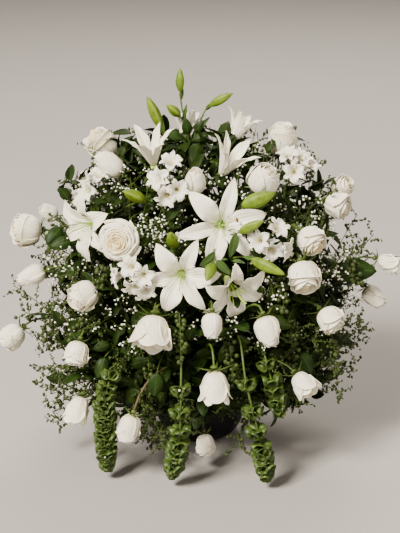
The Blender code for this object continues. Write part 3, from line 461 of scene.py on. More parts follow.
def makeBowl():
    size, wall = bowlSize, bowlSize["wall"]
    heights = [size["height"] * (i / size["rings"]) ** 1.4 for i in range(size["rings"] + 1)]
    outside = [(0, 0)] + [(bowlRadius(height), height) for height in heights]
    lip = [(size["rim"] - wall, size["height"])]
    inside = [(bowlRadius(height) - wall, max(height, wall)) for height in reversed(heights[2:-1])]
    plant = newPlant()
    placeOnce(plant, asMesh(turnProfile(outside + lip + inside + [(0, wall)], size["steps"])))
    tree, shader = newFinish("bowlBlack")
    speckle = texture(tree, "TexNoise", {"Scale": 90, "Detail": 6})
    feed(tree, shader["Base Color"], mix(tree, speckle, bowlLook["dark"], bowlLook["pale"]))
    uneven = calc(tree, "MULTIPLY", speckle, bowlLook["uneven"])
    feed(tree, shader["Roughness"], calc(tree, "ADD", uneven, bowlLook["rough"]))
    shader["Specular IOR Level"].default_value = bowlLook["shine"]
    addRelief(tree, shader, speckle, 0.15, 0.0005)
    finishPlant(plant, "bowl", "black_bowl", "bowlBlack")


def foamReach(elevation):
    e = math.radians(elevation)
    return ((math.cos(e) / foamSize["radius"]) ** 3 + (math.sin(e) / foamSize["dome"]) ** 3) ** (-1 / 3)


def makeFoam():
    size = foamSize
    low = bowlSize["wall"] + size["gap"]
    profile = [(0, low), (size["foot"], low), (size["radius"], size["shoulder"])]
    for elevation in range(0, 90, 6):
        e, reach = math.radians(elevation), foamReach(elevation)
        profile.append((reach * math.cos(e), size["centre"] + reach * math.sin(e)))
    foam = turnProfile(profile + [(0, size["centre"] + size["dome"])], size["steps"])
    for vert in foam.verts:
        vert.co -= vert.co.normalized() * size["crumb"] * (0.5 + noise.noise(vert.co * 60))
    plant = newPlant()
    placeOnce(plant, asMesh(foam))
    tree, shader = newFinish("wetFoam")
    cells = texture(tree, "TexVoronoi", {"Scale": foamLook["cells"]})
    feed(tree, shader["Base Color"], mix(tree, cells, foamLook["dark"], foamLook["pale"]))
    shader["Roughness"].default_value = foamLook["rough"]
    addRelief(tree, shader, cells, 1.0, 0.0006)
    finishPlant(plant, "foam", "wet_foam", "wetFoam")


makeBowl()
makeFoam()
print("bowl and foam ready")


# where each bunch stands in the foam: azimuth, elevation
roots = {
    "bells_of_ireland_1": (-45, 12), "bells_of_ireland_2": (-15, 12), "bells_of_ireland_3": (15, 12),
    "bells_of_ireland_4": (45, 12), "trailing_greens_left": (-78, 12), "trailing_greens_right": (78, 12),
    "rose_stems_front": (0, 41), "alstroemeria_left": (-40, 41), "alstroemeria_right": (40, 41),
    "rose_stems_left": (-80, 41), "rose_stems_right": (80, 41), "gypsophila_left": (-120, 41),
    "gypsophila_right": (120, 41), "back_foliage": (180, 41), "lily_stem_centre": (-30, 65),
    "lily_stem_upper": (30, 65), "lily_stem_left": (-90, 65), "lily_stem_right": (90, 65),
    "rose_stems_top_left": (-150, 65), "rose_stems_top_right": (150, 65), "alstroemeria_top": (0, 90),
}
stemRun = {"proud": 0.004, "inFoam": 0.012, "drawn": 0.6, "start": 0.35, "end": 0.22}  # lengths, then shares


def rootOf(bunch):
    way = heading(*roots[bunch])
    return raised(foamSize["centre"]) + way * (foamReach(roots[bunch][1]) + stemRun["proud"]), way


def stemWay(bunch, end, endWay, count=12, start=None, straight=stemRun["end"]):
    root, way = start or rootOf(bunch)
    span = (end - root).length
    outset = (way + (end - root) / span * stemRun["drawn"]).normalized()
    low = root - way * (stemRun["inFoam"] if start is None else 0)
    return arc(low, root + outset * span * stemRun["start"], end - endWay * span * straight, end, count)


# roses: middle, azimuth and elevation of the face, width, height, how far it is open
roses = {
    "rose_stems_top_left": {
        "rose_01": ((-0.204, 0.085, 0.618), -75, 45, 0.070, 0.070, 0.8),
        "rose_02": ((-0.186, -0.015, 0.600), -85, 38, 0.046, 0.067, 0.2),
        "rose_25": ((-0.361, -0.010, 0.458), -70, 5, 0.070, 0.062, 0.9),
        "rose_26": ((-0.321, 0.050, 0.479), -60, 40, 0.038, 0.044, 0.1),
        "rose_27": ((-0.157, -0.200, 0.494), -10, 5, 0.086, 0.058, 1.0),
        "rose_28": ((-0.140, 0.230, 0.430), -150, 10, 0.060, 0.055, 0.6),
    },
    "rose_stems_top_right": {
        "rose_03": ((0.170, 0.050, 0.637), 35, 82, 0.060, 0.070, 0.6),
        "rose_04": ((0.126, -0.120, 0.597), 35, 55, 0.066, 0.060, 0.3),
        "rose_05": ((-0.010, -0.140, 0.597), 0, 70, 0.044, 0.052, 0.1),
        "rose_06": ((0.298, 0.050, 0.536), 50, 30, 0.046, 0.046, 0.3),
        "rose_07": ((0.284, -0.020, 0.514), 60, -10, 0.056, 0.054, 0.5),
        "rose_29": ((0.130, 0.235, 0.505), 160, 20, 0.064, 0.058, 0.7),
    },
    "rose_stems_left": {
        "rose_20": ((-0.246, -0.220, 0.142), -40, -60, 0.058, 0.060, 0.8),
        "rose_21": ((-0.245, -0.220, 0.265), -30, -60, 0.048, 0.052, 0.3),
        "rose_22": ((-0.230, -0.200, 0.381), -50, -25, 0.058, 0.058, 0.6),
        "rose_23": ((-0.349, -0.050, 0.371), -75, -20, 0.044, 0.060, 0.2),
        "rose_24": ((-0.393, -0.060, 0.240), -60, -35, 0.054, 0.055, 0.4),
    },
    "rose_stems_right": {
        "rose_08": ((0.218, -0.165, 0.483), 40, -30, 0.060, 0.054, 0.6),
        "rose_09": ((0.203, -0.210, 0.422), 15, -45, 0.066, 0.060, 0.6),
        "rose_10": ((0.257, -0.200, 0.329), 50, -35, 0.054, 0.052, 0.5),
        "rose_11": ((0.363, -0.040, 0.321), 70, -40, 0.042, 0.055, 0.1),
        "rose_12": ((0.395, -0.010, 0.386), 75, -15, 0.046, 0.050, 0.3),
    },
    "rose_stems_front": {
        "rose_13": ((0.205, -0.250, 0.211), 50, -40, 0.056, 0.055, 0.9),
        "rose_14": ((0.131, -0.270, 0.330), 30, -60, 0.049, 0.062, 0.2),
        "rose_15": ((0.023, -0.280, 0.345), 0, -60, 0.042, 0.052, 0.1),
        "rose_16": ((0.029, -0.288, 0.221), 10, -75, 0.070, 0.067, 0.8),
        "rose_17": ((0.012, -0.190, 0.052), 20, -65, 0.040, 0.048, 0.3),
        "rose_18": ((-0.092, -0.275, 0.329), -14, -56, 0.088, 0.070, 0.8),
        "rose_19": ((-0.141, -0.260, 0.123), -80, -74, 0.046, 0.058, 0.2),
    },
}

# each layer from the outside: petals, half spread in degrees, then shares of the half width and height:
# belly, neck, rim, height of the neck, height of the rim, and how far the lip curls over;
# the core is the heart that shows between the rims: its half width, middle height and half height
roseKinds = {
    "bud": {"cut": 0.34, "round": 2.4, "ruffle": 0.07, "hearts": 2, "core": (0.40, 0.50, 0.34), "layers": (
        (2, 100, 0.94, 1.00, 0.50, 0.50, 0.88, 0.60), (3, 80, 0.90, 0.92, 0.42, 0.58, 0.96, 0.55),
        (3, 76, 0.78, 0.74, 0.32, 0.64, 1.00, 0.45), (3, 86, 0.58, 0.50, 0.22, 0.70, 0.99, 0.30),
        (3, 90, 0.40, 0.32, 0.14, 0.75, 0.97, 0.10), (2, 110, 0.22, 0.18, 0.06, 0.78, 0.95, 0.0),
    )},
    "cup": {"cut": 0.30, "round": 2.6, "ruffle": 0.08, "hearts": 2, "core": (0.50, 0.50, 0.34), "layers": (
        (3, 78, 0.92, 0.98, 0.90, 0.50, 0.88, 0.95), (3, 80, 0.88, 0.92, 0.76, 0.58, 0.96, 0.85),
        (3, 78, 0.78, 0.78, 0.58, 0.64, 1.00, 0.60), (3, 86, 0.60, 0.56, 0.38, 0.72, 0.99, 0.40),
        (3, 90, 0.42, 0.36, 0.20, 0.76, 0.97, 0.15), (2, 110, 0.22, 0.18, 0.06, 0.78, 0.95, 0.0),
    )},
    "loose": {"cut": 0.28, "round": 2.4, "ruffle": 0.17, "hearts": 3, "core": (0.68, 0.47, 0.38), "layers": (
        (3, 74, 0.90, 0.98, 1.04, 0.50, 0.74, 0.95), (3, 74, 0.86, 0.92, 0.94, 0.60, 0.88, 0.90),
        (4, 62, 0.78, 0.80, 0.78, 0.66, 0.96, 0.80), (4, 66, 0.64, 0.64, 0.58, 0.72, 1.00, 0.70),
        (4, 70, 0.50, 0.47, 0.41, 0.78, 1.00, 0.60), (3, 88, 0.33, 0.30, 0.25, 0.82, 0.98, 0.40),
        (2, 115, 0.18, 0.16, 0.09, 0.83, 0.96, 0.10),
    )},
    "half": {"cut": 0.32, "round": 2.6, "ruffle": 0.08, "hearts": 3, "core": (0.60, 0.50, 0.36), "layers": (
        (3, 78, 0.94, 1.02, 0.94, 0.56, 0.80, 0.95), (3, 80, 0.90, 0.95, 0.82, 0.64, 0.90, 0.85),
        (4, 62, 0.82, 0.83, 0.68, 0.70, 0.95, 0.75), (4, 66, 0.68, 0.66, 0.52, 0.76, 0.98, 0.60),
        (4, 70, 0.52, 0.48, 0.36, 0.80, 1.00, 0.45), (3, 88, 0.34, 0.29, 0.20, 0.83, 0.98, 0.25),
        (2, 115, 0.18, 0.14, 0.07, 0.84, 0.96, 0.0),
    )},
    "bell": {"cut": 0.50, "round": 2.0, "ruffle": 0.11, "hearts": 2, "core": (0.45, 0.44, 0.34), "layers": (
        (4, 56, 0.84, 0.82, 1.08, 0.52, 0.96, 0.80), (4, 58, 0.78, 0.76, 0.96, 0.55, 1.00, 0.65),
        (3, 76, 0.64, 0.62, 0.62, 0.62, 0.95, 0.30), (3, 84, 0.44, 0.40, 0.34, 0.74, 0.92, 0.15),
        (2, 110, 0.22, 0.20, 0.12, 0.78, 0.90, 0.0),
    )},
    "open": {"cut": 0.20, "round": 2.6, "ruffle": 0.09, "hearts": 5, "core": (0.82, 0.45, 0.40), "layers": (
        (5, 50, 0.62, 0.98, 1.00, 0.70, 0.58, 0.75), (5, 54, 0.66, 0.86, 0.88, 0.78, 0.71, 0.95),
        (5, 56, 0.62, 0.73, 0.75, 0.84, 0.80, 0.95), (4, 68, 0.52, 0.60, 0.62, 0.86, 0.87, 0.95),
        (4, 72, 0.42, 0.48, 0.49, 0.87, 0.92, 0.90), (4, 76, 0.32, 0.37, 0.37, 0.88, 0.95, 0.80),
        (3, 92, 0.22, 0.27, 0.26, 0.88, 0.97, 0.65), (3, 100, 0.14, 0.17, 0.16, 0.88, 0.98, 0.45),
        (2, 125, 0.07, 0.08, 0.05, 0.87, 0.98, 0.10),
    )},
}
openTo = {"bud": 0.25, "cup": 0.45, "half": 0.95}  # what is more open has the kind "open"
ownKinds = {
    "rose_13": "bell", "rose_16": "bell", "rose_20": "bell", "rose_12": "bell", "rose_18": "bell",
    "rose_07": "cup", "rose_09": "cup", "rose_10": "cup", "rose_19": "cup", "rose_22": "cup",
    "rose_03": "cup", "rose_25": "cup", "rose_01": "loose", "rose_04": "bud",
}
rosePetals = {
    "grid": 10, "thickness": 0.0004, "tall": 0.97, "belly": 1.22, "foot": 0.10, "lipFrom": 0.80, "roll": 2.6,
    "lipOut": 0.065, "lipDown": 0.045, "tip": 0.02, "turn": 0.63, "uneven": 0.04, "astray": 0.08,
}


def kindOf(name, opened):
    for kind, most in openTo.items():
        if opened < most:
            return ownKinds.get(name, kind)
    return "open"


def rimBend(v, curl):  # how far the lip has rolled outward at a share of the petal
    start = rosePetals["lipFrom"]
    return curl * rosePetals["roll"] * max(0.0, (v - start) / (1 - start))


def lipReach(bend):
    return rosePetals["lipOut"] * (1 - math.cos(bend))


def rosePetalShape(turn, layer, half, tall, kind, seed):
    _, spread, belly, neck, rim, neckUp, rimUp, curl = layer
    spread = math.radians(spread)
    foot, low = Vector((rosePetals["foot"], 0)), Vector((belly * rosePetals["belly"], 0.04))
    high, top = Vector((neck, neckUp)), Vector((rim, rimUp))

    def shape(u, v):
        v = 1 - (1 - v) ** 1.5  # finer towards the rim
        reach = v * (1 - kind["cut"] * (1 - math.sqrt(1 - 0.97 * abs(u) ** kind["round"])))
        ring = bezier(foot, low, high, top, reach)
        bend = rimBend(v, curl)
        edge = curl * max(0.0, abs(u) - 0.6) ** 2 * v * v
        wave = kind["ruffle"] * v * v * noise.noise(Vector((u * 1.7 + seed, v * 1.3, seed * 0.37)))
        radius = ring.x * (1 + 0.08 * u) + lipReach(bend) + 0.45 * edge + wave
        point = rosePetals["tip"] * (1 - abs(u)) ** 3 * v ** 4
        rise = ring.y - rosePetals["lipDown"] * (bend - math.sin(bend)) + 0.6 * wave + point
        angle = turn + u * spread * (0.55 + 0.45 * min(1, v / 0.3))
        return onRing(angle, radius * half, rise * tall)

    return shape


def widestRing(layers):
    widest, steps = 0, 10
    for _, _, belly, neck, rim, _, _, curl in layers:
        for step in range(steps + 1):
            share = step / steps
            radius = bezier(rosePetals["foot"], belly * rosePetals["belly"], neck, rim, share) * 1.04
            widest = max(widest, radius + lipReach(rimBend(share, curl)))
    return widest


def makeRose(name, middle, azimuth, elevation, width, height, opened):
    facing = heading(azimuth, elevation)
    kind = roseKinds[kindOf(name, opened)]
    layers = kind["layers"]
    half = width / 2 / widestRing(layers)
    grid, thickness, tall = rosePetals["grid"], rosePetals["thickness"], height * rosePetals["tall"]
    astray, least, most = rosePetals["astray"], 1 - rosePetals["uneven"], 1 + rosePetals["uneven"]
    plant = newPiece(name)
    swirl = draw.uniform(0, math.tau)
    for depth, layer in enumerate(layers):
        finish = int(depth >= len(layers) - kind["hearts"])
        petals, spread, *shares = layer
        for number in range(petals):
            turn = swirl + depth * rosePetals["turn"] + math.tau * number / petals
            turn += draw.uniform(-astray, astray)
            own = (petals, spread, *(share * draw.uniform(least, most) for share in shares))
            shape = rosePetalShape(turn, own, half, tall, kind, draw.uniform(0, 50))
            placeOnce(plant, petalSheet(grid, grid, thickness, shape, finish))
    wide, middleUp, deep = kind["core"]

    def core(angle, rise):
        radius = wide * half * math.sin(math.pi * rise)
        return onRing(angle, radius, height * (middleUp - deep * math.cos(math.pi * rise)))

    placeOnce(plant, budShape(20, 10, core, 1))
    plant.transform(aim(Vector(middle) - facing * height / 2, facing))
    finishPlant(plant, name, "white_rose", "rosePetal", "roseHeart")


for bunch in roses.values():
    for name, values in bunch.items():
        makeRose(name, *values)
print("roses ready")


# leaves

def leafShape(widest, rows, columns, thickness, arch=0.12, fold=0.25, saw=0.0, blunt=1.0):
    def shape(u, v):
        width = widest * math.sin(math.pi * v ** blunt) ** 0.75 if 0.001 < v < 0.999 else 0
        width *= 1 + saw * (1 if round(v * rows) % 2 else -1)
        return Vector((u * width, v, -arch * v * v + fold * width * abs(u)))

    return petalSheet(columns, rows, thickness, shape, 1)


# greatest half width, rows, columns and thickness of a leaf that is one unit long
roseLeaf = leafShape(0.30, 9, 2, 0.008, saw=0.05, blunt=0.8)
fillerLeaf = leafShape(0.27, 5, 2, 0.012, arch=0.2, blunt=0.85)
lilyLeaf = leafShape(0.12, 10, 4, 0.008, arch=0.25, fold=0.5, blunt=0.7)
frontLeaf = leafShape(0.19, 10, 4, 0.008, arch=0.2, fold=0.3, blunt=0.8)
broadLeaf = leafShape(0.30, 9, 2, 0.006, arch=0.22, fold=0.12, blunt=0.85)


def putLeaf(plant, leaf, spot, along, size, outward):
    if abs(along.normalized().dot(outward.normalized())) > 0.97:  # too near to turn its face by
        outward = outward + raised(1) * outward.length
    place(plant, leaf, lay(spot, along, outward, size))


roseLeaves = {
    "stem": 0.0023, "leaf": 0.038, "perStem": 3, "share": (0.35, 0.72), "frontShare": (0.30, 0.50),
    "branch": 1.25, "branchStalk": (0.0009, 0.0006), "sideLeaflet": 0.85, "endLeaflet": 1.1,
    "brownStem": "rose_19", "straight": {"rose_19": 0.55, "rose_16": 0.40},
}
calyxLook = {  # in shares of the bloom's width, the thickness and falls in metres
    "cup": 0.115, "sepals": 5, "sepalWidth": 0.062, "sepalLengths": (0.32, 0.50), "thickness": 0.0005,
    "falls": (0.001, 0.016),
}


def makeCalyx(plant, foot, facing, width):
    def cup(angle, rise):
        radius = width * (calyxLook["cup"] * math.sin(math.pi * min(1, rise * 1.15)) ** 0.7)
        return onRing(angle, radius, -0.012 + 0.0125 * rise)

    placeOnce(plant, budShape(12, 8, cup), aim(foot, facing))
    for number in range(calyxLook["sepals"]):
        radial, tangent = roundAxis(math.tau * number / calyxLook["sepals"] + draw.uniform(-0.2, 0.2))
        fall, long = draw.uniform(*calyxLook["falls"]), draw.uniform(*calyxLook["sepalLengths"])

        def sepal(u, v):
            reach = width * (0.09 + long * v)
            side = u * width * calyxLook["sepalWidth"] * (1 - v) ** 0.7
            drop = -0.0022 - fall * v ** 1.5 + 0.002 * u * u * (1 - v)
            return radial * reach + tangent * side + raised(drop)

        placeOnce(plant, petalSheet(2, 7, calyxLook["thickness"], sepal), aim(foot, facing))


def roseBranch(plant, spot, way, size):  # a stalk with five leaflets
    out = (spot - raised(spot.z) + sway(0.04) + way * 0.03).normalized()
    along = (out + way * 0.7 + sway(0.5)).normalized()
    side = along.cross(raised(1) + sway(0.3)).normalized()
    tip = spot + along * size * roseLeaves["branch"]
    addStems(plant, [taper([spot, spot.lerp(tip, 0.5), tip], *roseLeaves["branchStalk"])], 0, 0)
    up = side.cross(along)
    for share, lean in ((0.4, 1), (0.4, -1), (0.8, 1), (0.8, -1)):
        leafWay = side * lean + along * 0.6 + sway(0.15)
        putLeaf(plant, roseLeaf, spot.lerp(tip, share), leafWay, size * roseLeaves["sideLeaflet"], up)
    putLeaf(plant, roseLeaf, tip, along - raised(0.25), size * roseLeaves["endLeaflet"], up)


def makeRoseStems(bunch):
    plant = newPiece(bunch)
    low, high = roseLeaves["frontShare" if bunch == "rose_stems_front" else "share"]
    for name, (middle, azimuth, elevation, width, height, _) in roses[bunch].items():
        facing = heading(azimuth, elevation)
        foot = Vector(middle) - facing * height / 2
        straight = roseLeaves["straight"].get(name, stemRun["end"])
        points = stemWay(bunch, foot - facing * 0.008, facing, straight=straight)
        colour = 2 if name == roseLeaves["brownStem"] else 0
        addStems(plant, [taper(points, roseLeaves["stem"] * 1.1, roseLeaves["stem"])], colour, 2)
        makeCalyx(plant, foot, facing, width)
        for number in range(roseLeaves["perStem"]):
            spot, way = onArc(points, low + (high - low) * (number + draw.random()) / roseLeaves["perStem"])
            roseBranch(plant, spot, way, roseLeaves["leaf"] * draw.uniform(0.8, 1.15))
    finishPlant(plant, bunch, "rose_green", "stemGreen", "roseLeafGreen", "stemBrown")


for bunch in roses:
    makeRoseStems(bunch)
print("rose stems ready")


# lilies: foot, azimuth and elevation of the face, turn, reach and depth of the trumpet, fall of the tips,
# and whether it is fully open
lilies = {
    "lily_stem_upper": {"lily_1": ((0.039, -0.150, 0.510), 5, 15, 13, 0.092, 0.062, 0.50, True)},
    "lily_stem_centre": {
        "lily_2": ((-0.033, -0.205, 0.432), -8, 0, 6, 0.080, 0.058, 0.45, True),
        "lily_3": ((0.050, -0.195, 0.418), 25, -25, 40, 0.072, 0.062, 0.30, True),
    },
    "lily_stem_left": {
        "lily_4": ((-0.091, -0.060, 0.597), -25, 72, 30, 0.052, 0.092, 0.05, False),
        "lily_7": ((-0.198, -0.105, 0.505), -48, -5, 30, 0.080, 0.060, 0.45, True),
    },
    "lily_stem_right": {
        "lily_5": ((0.036, -0.060, 0.576), 60, 60, 0, 0.052, 0.098, 0.05, False),
        "lily_6": ((0.060, 0.050, 0.620), 100, 62, 30, 0.040, 0.085, 0.05, False),
        "lily_8": ((-0.033, 0.060, 0.622), 160, 75, 10, 0.042, 0.080, 0.10, False),
    },
}
lilyBuds = {  # foot, tip, greatest width
    "lily_stem_upper": (
        ((0.080, -0.168, 0.552), (0.148, -0.170, 0.582), 0.030),
        ((0.074, -0.205, 0.510), (0.123, -0.222, 0.540), 0.019),
        ((-0.048, -0.192, 0.478), (-0.058, -0.230, 0.518), 0.025),
    ),
    "lily_stem_centre": (
        ((0.097, -0.224, 0.464), (0.163, -0.260, 0.443), 0.023),
        ((0.026, -0.247, 0.464), (0.012, -0.289, 0.440), 0.022),
    ),
    "lily_stem_left": (
        ((-0.078, 0.030, 0.663), (-0.108, 0.020, 0.733), 0.022),
        ((-0.107, -0.130, 0.553), (-0.150, -0.160, 0.582), 0.024),
    ),
    "lily_stem_right": (
        ((-0.041, 0.060, 0.734), (-0.041, 0.060, 0.784), 0.018),
        ((-0.040, 0.040, 0.687), (-0.068, 0.025, 0.715), 0.019),
        ((0.019, 0.060, 0.705), (0.068, 0.050, 0.734), 0.018),
    ),
}
lilyForks = {  # where a bunch parts
    "lily_stem_upper": (0.035, -0.095, 0.455), "lily_stem_centre": (0.015, -0.130, 0.400),
    "lily_stem_left": (-0.085, -0.030, 0.520), "lily_stem_right": (-0.010, 0.050, 0.560),
}
# for an open and an opening bloom: half widths, depths of the bend, and the outline's two powers
lilyPetals = {
    True: ((0.0205, 0.0150), (0.45, 1.15), (1.40, 0.64)),
    False: ((0.0125, 0.0090), (0.38, 0.80), (1.10, 0.85)),
}
lilyFrontLeaves = {  # leaves that hang before the open blooms: base, way and length
    "lily_stem_upper": (((0.068, -0.226, 0.515), (-0.15, -0.2, -1), 0.050),),
    "lily_stem_centre": (
        ((0.029, -0.262, 0.490), (-0.9, -0.2, -1), 0.042), ((0.030, -0.264, 0.474), (1, -0.2, -1), 0.042),
    ),
}
lilyLook = {
    "outerReach": 1.04, "outerDepth": 0.94, "thickness": 0.0006, "ruffle": 0.0030, "groove": 0.0026,
    "throat": 0.0072, "throatLength": 0.019, "knob": 0.0030, "style": (0.0015, 0.0012),
    "stamens": 6, "thread": (0.0010, 0.0006), "tipOut": 0.021,
    "brownAnther": {"bloom": "lily_1", "stamen": 5, "way": (0.94, 0.11, 0.33), "out": 0.030, "up": 0.056,
                    "radius": 0.0028, "length": 0.013},
    "budLeaves": (0.55, 0.85), "leaves": 9, "leavesFrom": 0.35, "leavesOver": 0.64, "leaf": 0.075,
    "leafFace": (0, -1, 0.6), "frontFace": (0.3, -1, -0.1), "stem": 0.0030, "stalk": 0.0021,
    "budStalk": (0.0018, 0.0015), "frontStalk": (0.0016, 0.0010),
}


def tepalShape(turn, reach, depth, fall, half, curve, outline, seed):
    radial, tangent = roundAxis(turn)
    foot, low = Vector((0.002, 0.006)), Vector((0.016, curve[0] * depth))
    high, tip = Vector((0.45 * reach, curve[1] * depth)), Vector((reach, depth * (1 - fall)))

    def shape(u, v):
        out = bezier(foot, low, high, tip, v)
        width = half * math.sin(math.pi * v ** outline[0]) ** outline[1] if v < 0.999 else 0
        width = min(width, 0.56 * out.x)
        ruffle = lilyLook["ruffle"] * math.sin(v * 21 + seed + u) * abs(u) ** 2.5 * math.sin(math.pi * v)
        groove = lilyLook["groove"] * math.exp(-(u * 4) ** 2) * math.sin(math.pi * v)
        lift = 0.22 * width * u * u + ruffle - groove
        return radial * (out.x - 0.18 * width * abs(u)) + tangent * (u * width) + raised(out.y + lift)

    return shape


def makeAnther(plant, tip, way):
    own = lilyLook["brownAnther"]

    def grain(angle, rise):
        return onRing(angle, own["radius"] * math.sin(math.pi * rise), own["length"] * (rise - 0.5))

    placeOnce(plant, budShape(8, 8, grain, 2), aim(tip, way))


def makeStamens(plant, name, turn, depth, stand):
    own = lilyLook["brownAnther"]
    for number in range(lilyLook["stamens"]):
        side = onRing(turn + math.tau * (number + 0.5) / lilyLook["stamens"], 1)
        tip = side * lilyLook["tipOut"] + raised(1.08 * depth)
        isBrown = (name, number) == (own["bloom"], own["stamen"])
        if isBrown:  # this one lies over a petal
            side = stand.to_3x3().inverted() @ Vector(own["way"])
            side = Vector((side.x, side.y, 0)).normalized()
            tip = side * own["out"] + raised(own["up"])
        low, bend = side * 0.004 + raised(0.5 * depth), side * 0.012 + raised(0.9 * depth)
        thread = arc(side * 0.002 + raised(0.012), low, bend, tip, 8)
        addStems(plant, [taper(thread, *lilyLook["thread"])], 1, 1)
        if isBrown:
            makeAnther(plant, tip, side.cross(raised(1)))


def makeLily(name, foot, azimuth, elevation, turn, reach, depth, fall, isOpen):
    plant = newPiece(name)
    turn = math.radians(turn)
    stand = aim(Vector(foot), heading(azimuth, elevation))
    widths, curve, outline = lilyPetals[isOpen]
    for number in range(6):
        outer, size = number % 2, (reach, depth)
        if outer:
            size = (reach * lilyLook["outerReach"], depth * lilyLook["outerDepth"])
        spin = turn + math.tau * number / 6
        shape = tepalShape(spin, *size, fall, widths[outer], curve, outline, draw.uniform(0, 6))
        placeOnce(plant, petalSheet(10, 20, lilyLook["thickness"], shape))

    def throat(angle, rise):
        radius = math.sin(math.pi * min(1, rise * 1.2) * 0.8 + 0.2) ** 0.6 if 0 < rise < 1 else 0
        return onRing(angle, lilyLook["throat"] * radius, lilyLook["throatLength"] * rise)

    def knob(angle, rise):
        radius = lilyLook["knob"] * math.sin(math.pi * rise) * (1 + 0.2 * math.cos(3 * angle))
        return onRing(angle, radius, lilyLook["knob"] * rise)

    placeOnce(plant, budShape(12, 8, throat, 1))
    if isOpen:
        top = Vector((0.006, 0.002, 1.32 * depth))
        style = arc(raised(0.01), raised(0.4 * depth), Vector((0.002, 0, 0.9 * depth)), top, 8)
        addStems(plant, [taper(style, *lilyLook["style"])], 1, 1)
        placeOnce(plant, budShape(12, 6, knob, 1), Matrix.Translation(style[-1] - raised(0.001)))
        makeStamens(plant, name, turn, depth, stand)
    plant.transform(stand)
    finishPlant(plant, name, "white_lily", "lilyPetal", "lilyHeart", "lilyAnther")


def lilyBud(plant, foot, tip, width):
    length = (tip - foot).length

    def shape(angle, rise):
        radius = width / 2 * math.sin(math.pi * rise ** 0.82) ** 0.72 if 0 < rise < 1 else 0
        radius *= 1 + 0.06 * math.cos(3 * angle) - 0.03 * math.cos(6 * angle)
        return onRing(angle, radius, length * rise)

    placeOnce(plant, budShape(24, 20, shape, 2), aim(foot, tip - foot))


def makeLilyStem(bunch):
    plant, look = newPiece(bunch), lilyLook
    fork = Vector(lilyForks[bunch])
    up = (fork - rootOf(bunch)[0]).normalized()
    main = stemWay(bunch, fork, up)
    stems = [taper(main, look["stem"], look["stem"] * 0.9)]
    start, leafFace = (fork - up * 0.002, up), Vector(look["leafFace"])
    for foot, tip, width in lilyBuds[bunch]:
        foot, tip = Vector(foot), Vector(tip)
        way = (tip - foot).normalized()
        lilyBud(plant, foot, tip, width)
        stalk = stemWay(bunch, foot + way * 0.003, way, 9, start)
        stems.append(taper(stalk, *look["budStalk"]))
        for share in look["budLeaves"]:
            spot, along = onArc(stalk, share)
            putLeaf(plant, lilyLeaf, spot, along + sway(0.8), look["leaf"] * 0.5, leafFace)
    for foot, azimuth, elevation, *_ in lilies[bunch].values():
        facing = heading(azimuth, elevation)
        stalk = stemWay(bunch, Vector(foot) + facing * 0.001, facing, 9, start)
        stems.append(taper(stalk, look["stalk"] * 1.2, look["stalk"]))
    for spot, along, size in lilyFrontLeaves.get(bunch, ()):
        spot = Vector(spot)
        stalk = arc(fork, fork.lerp(spot, 0.3) + up * 0.02, spot + raised(0.02), spot, 8)
        stems.append(taper(stalk, *look["frontStalk"]))
        putLeaf(plant, frontLeaf, spot, Vector(along), size, Vector(look["frontFace"]))
    for number in range(look["leaves"]):
        spot, way = onArc(main, look["leavesFrom"] + look["leavesOver"] * number / (look["leaves"] - 1))
        leafWay = sideways(way, goldenTurn * number) + way * 0.7
        putLeaf(plant, lilyLeaf, spot, leafWay, look["leaf"] * draw.uniform(0.75, 1.1), way)
    addStems(plant, stems, 0, 2)
    finishPlant(plant, bunch, "lily_green", "stemGreen", "lilyLeafGreen", "lilyBudGreen")


for bunch, blooms in lilies.items():
    for name, values in blooms.items():
        makeLily(name, *values)
    makeLilyStem(bunch)
print("lilies ready")


# alstroemeria: middle of a cluster, azimuth and elevation of its face, flowers
alstroemeria = {
    "alstroemeria_top": (((-0.066, -0.150, 0.611), -10, 30, 2), ((-0.066, -0.155, 0.580), -15, 0, 3)),
    "alstroemeria_left": (((-0.128, -0.235, 0.425), -20, -5, 5), ((-0.228, -0.020, 0.552), -50, 30, 4)),
    "alstroemeria_right": (((0.138, -0.200, 0.484), 15, 5, 4), ((0.205, 0.000, 0.600), 30, 50, 4)),
}
alstroLook = {
    "reach": 0.025, "wide": (0.0096, 0.025), "narrow": (0.0056, 0.031),  # half width and rise
    "thickness": 0.0005, "ruffle": 0.0028, "groove": 0.0012, "tipFall": 0.004,
    "stalk": 0.045, "spread": 0.018, "first": 0.004, "lean": 0.7, "stem": (0.0022, 0.0018),
    "flowerStalk": (0.0011, 0.0010), "thread": (0.0005, 0.0004), "leaves": 5, "leaf": 0.045,
    "leafFace": (0, -1, 0.5),
}


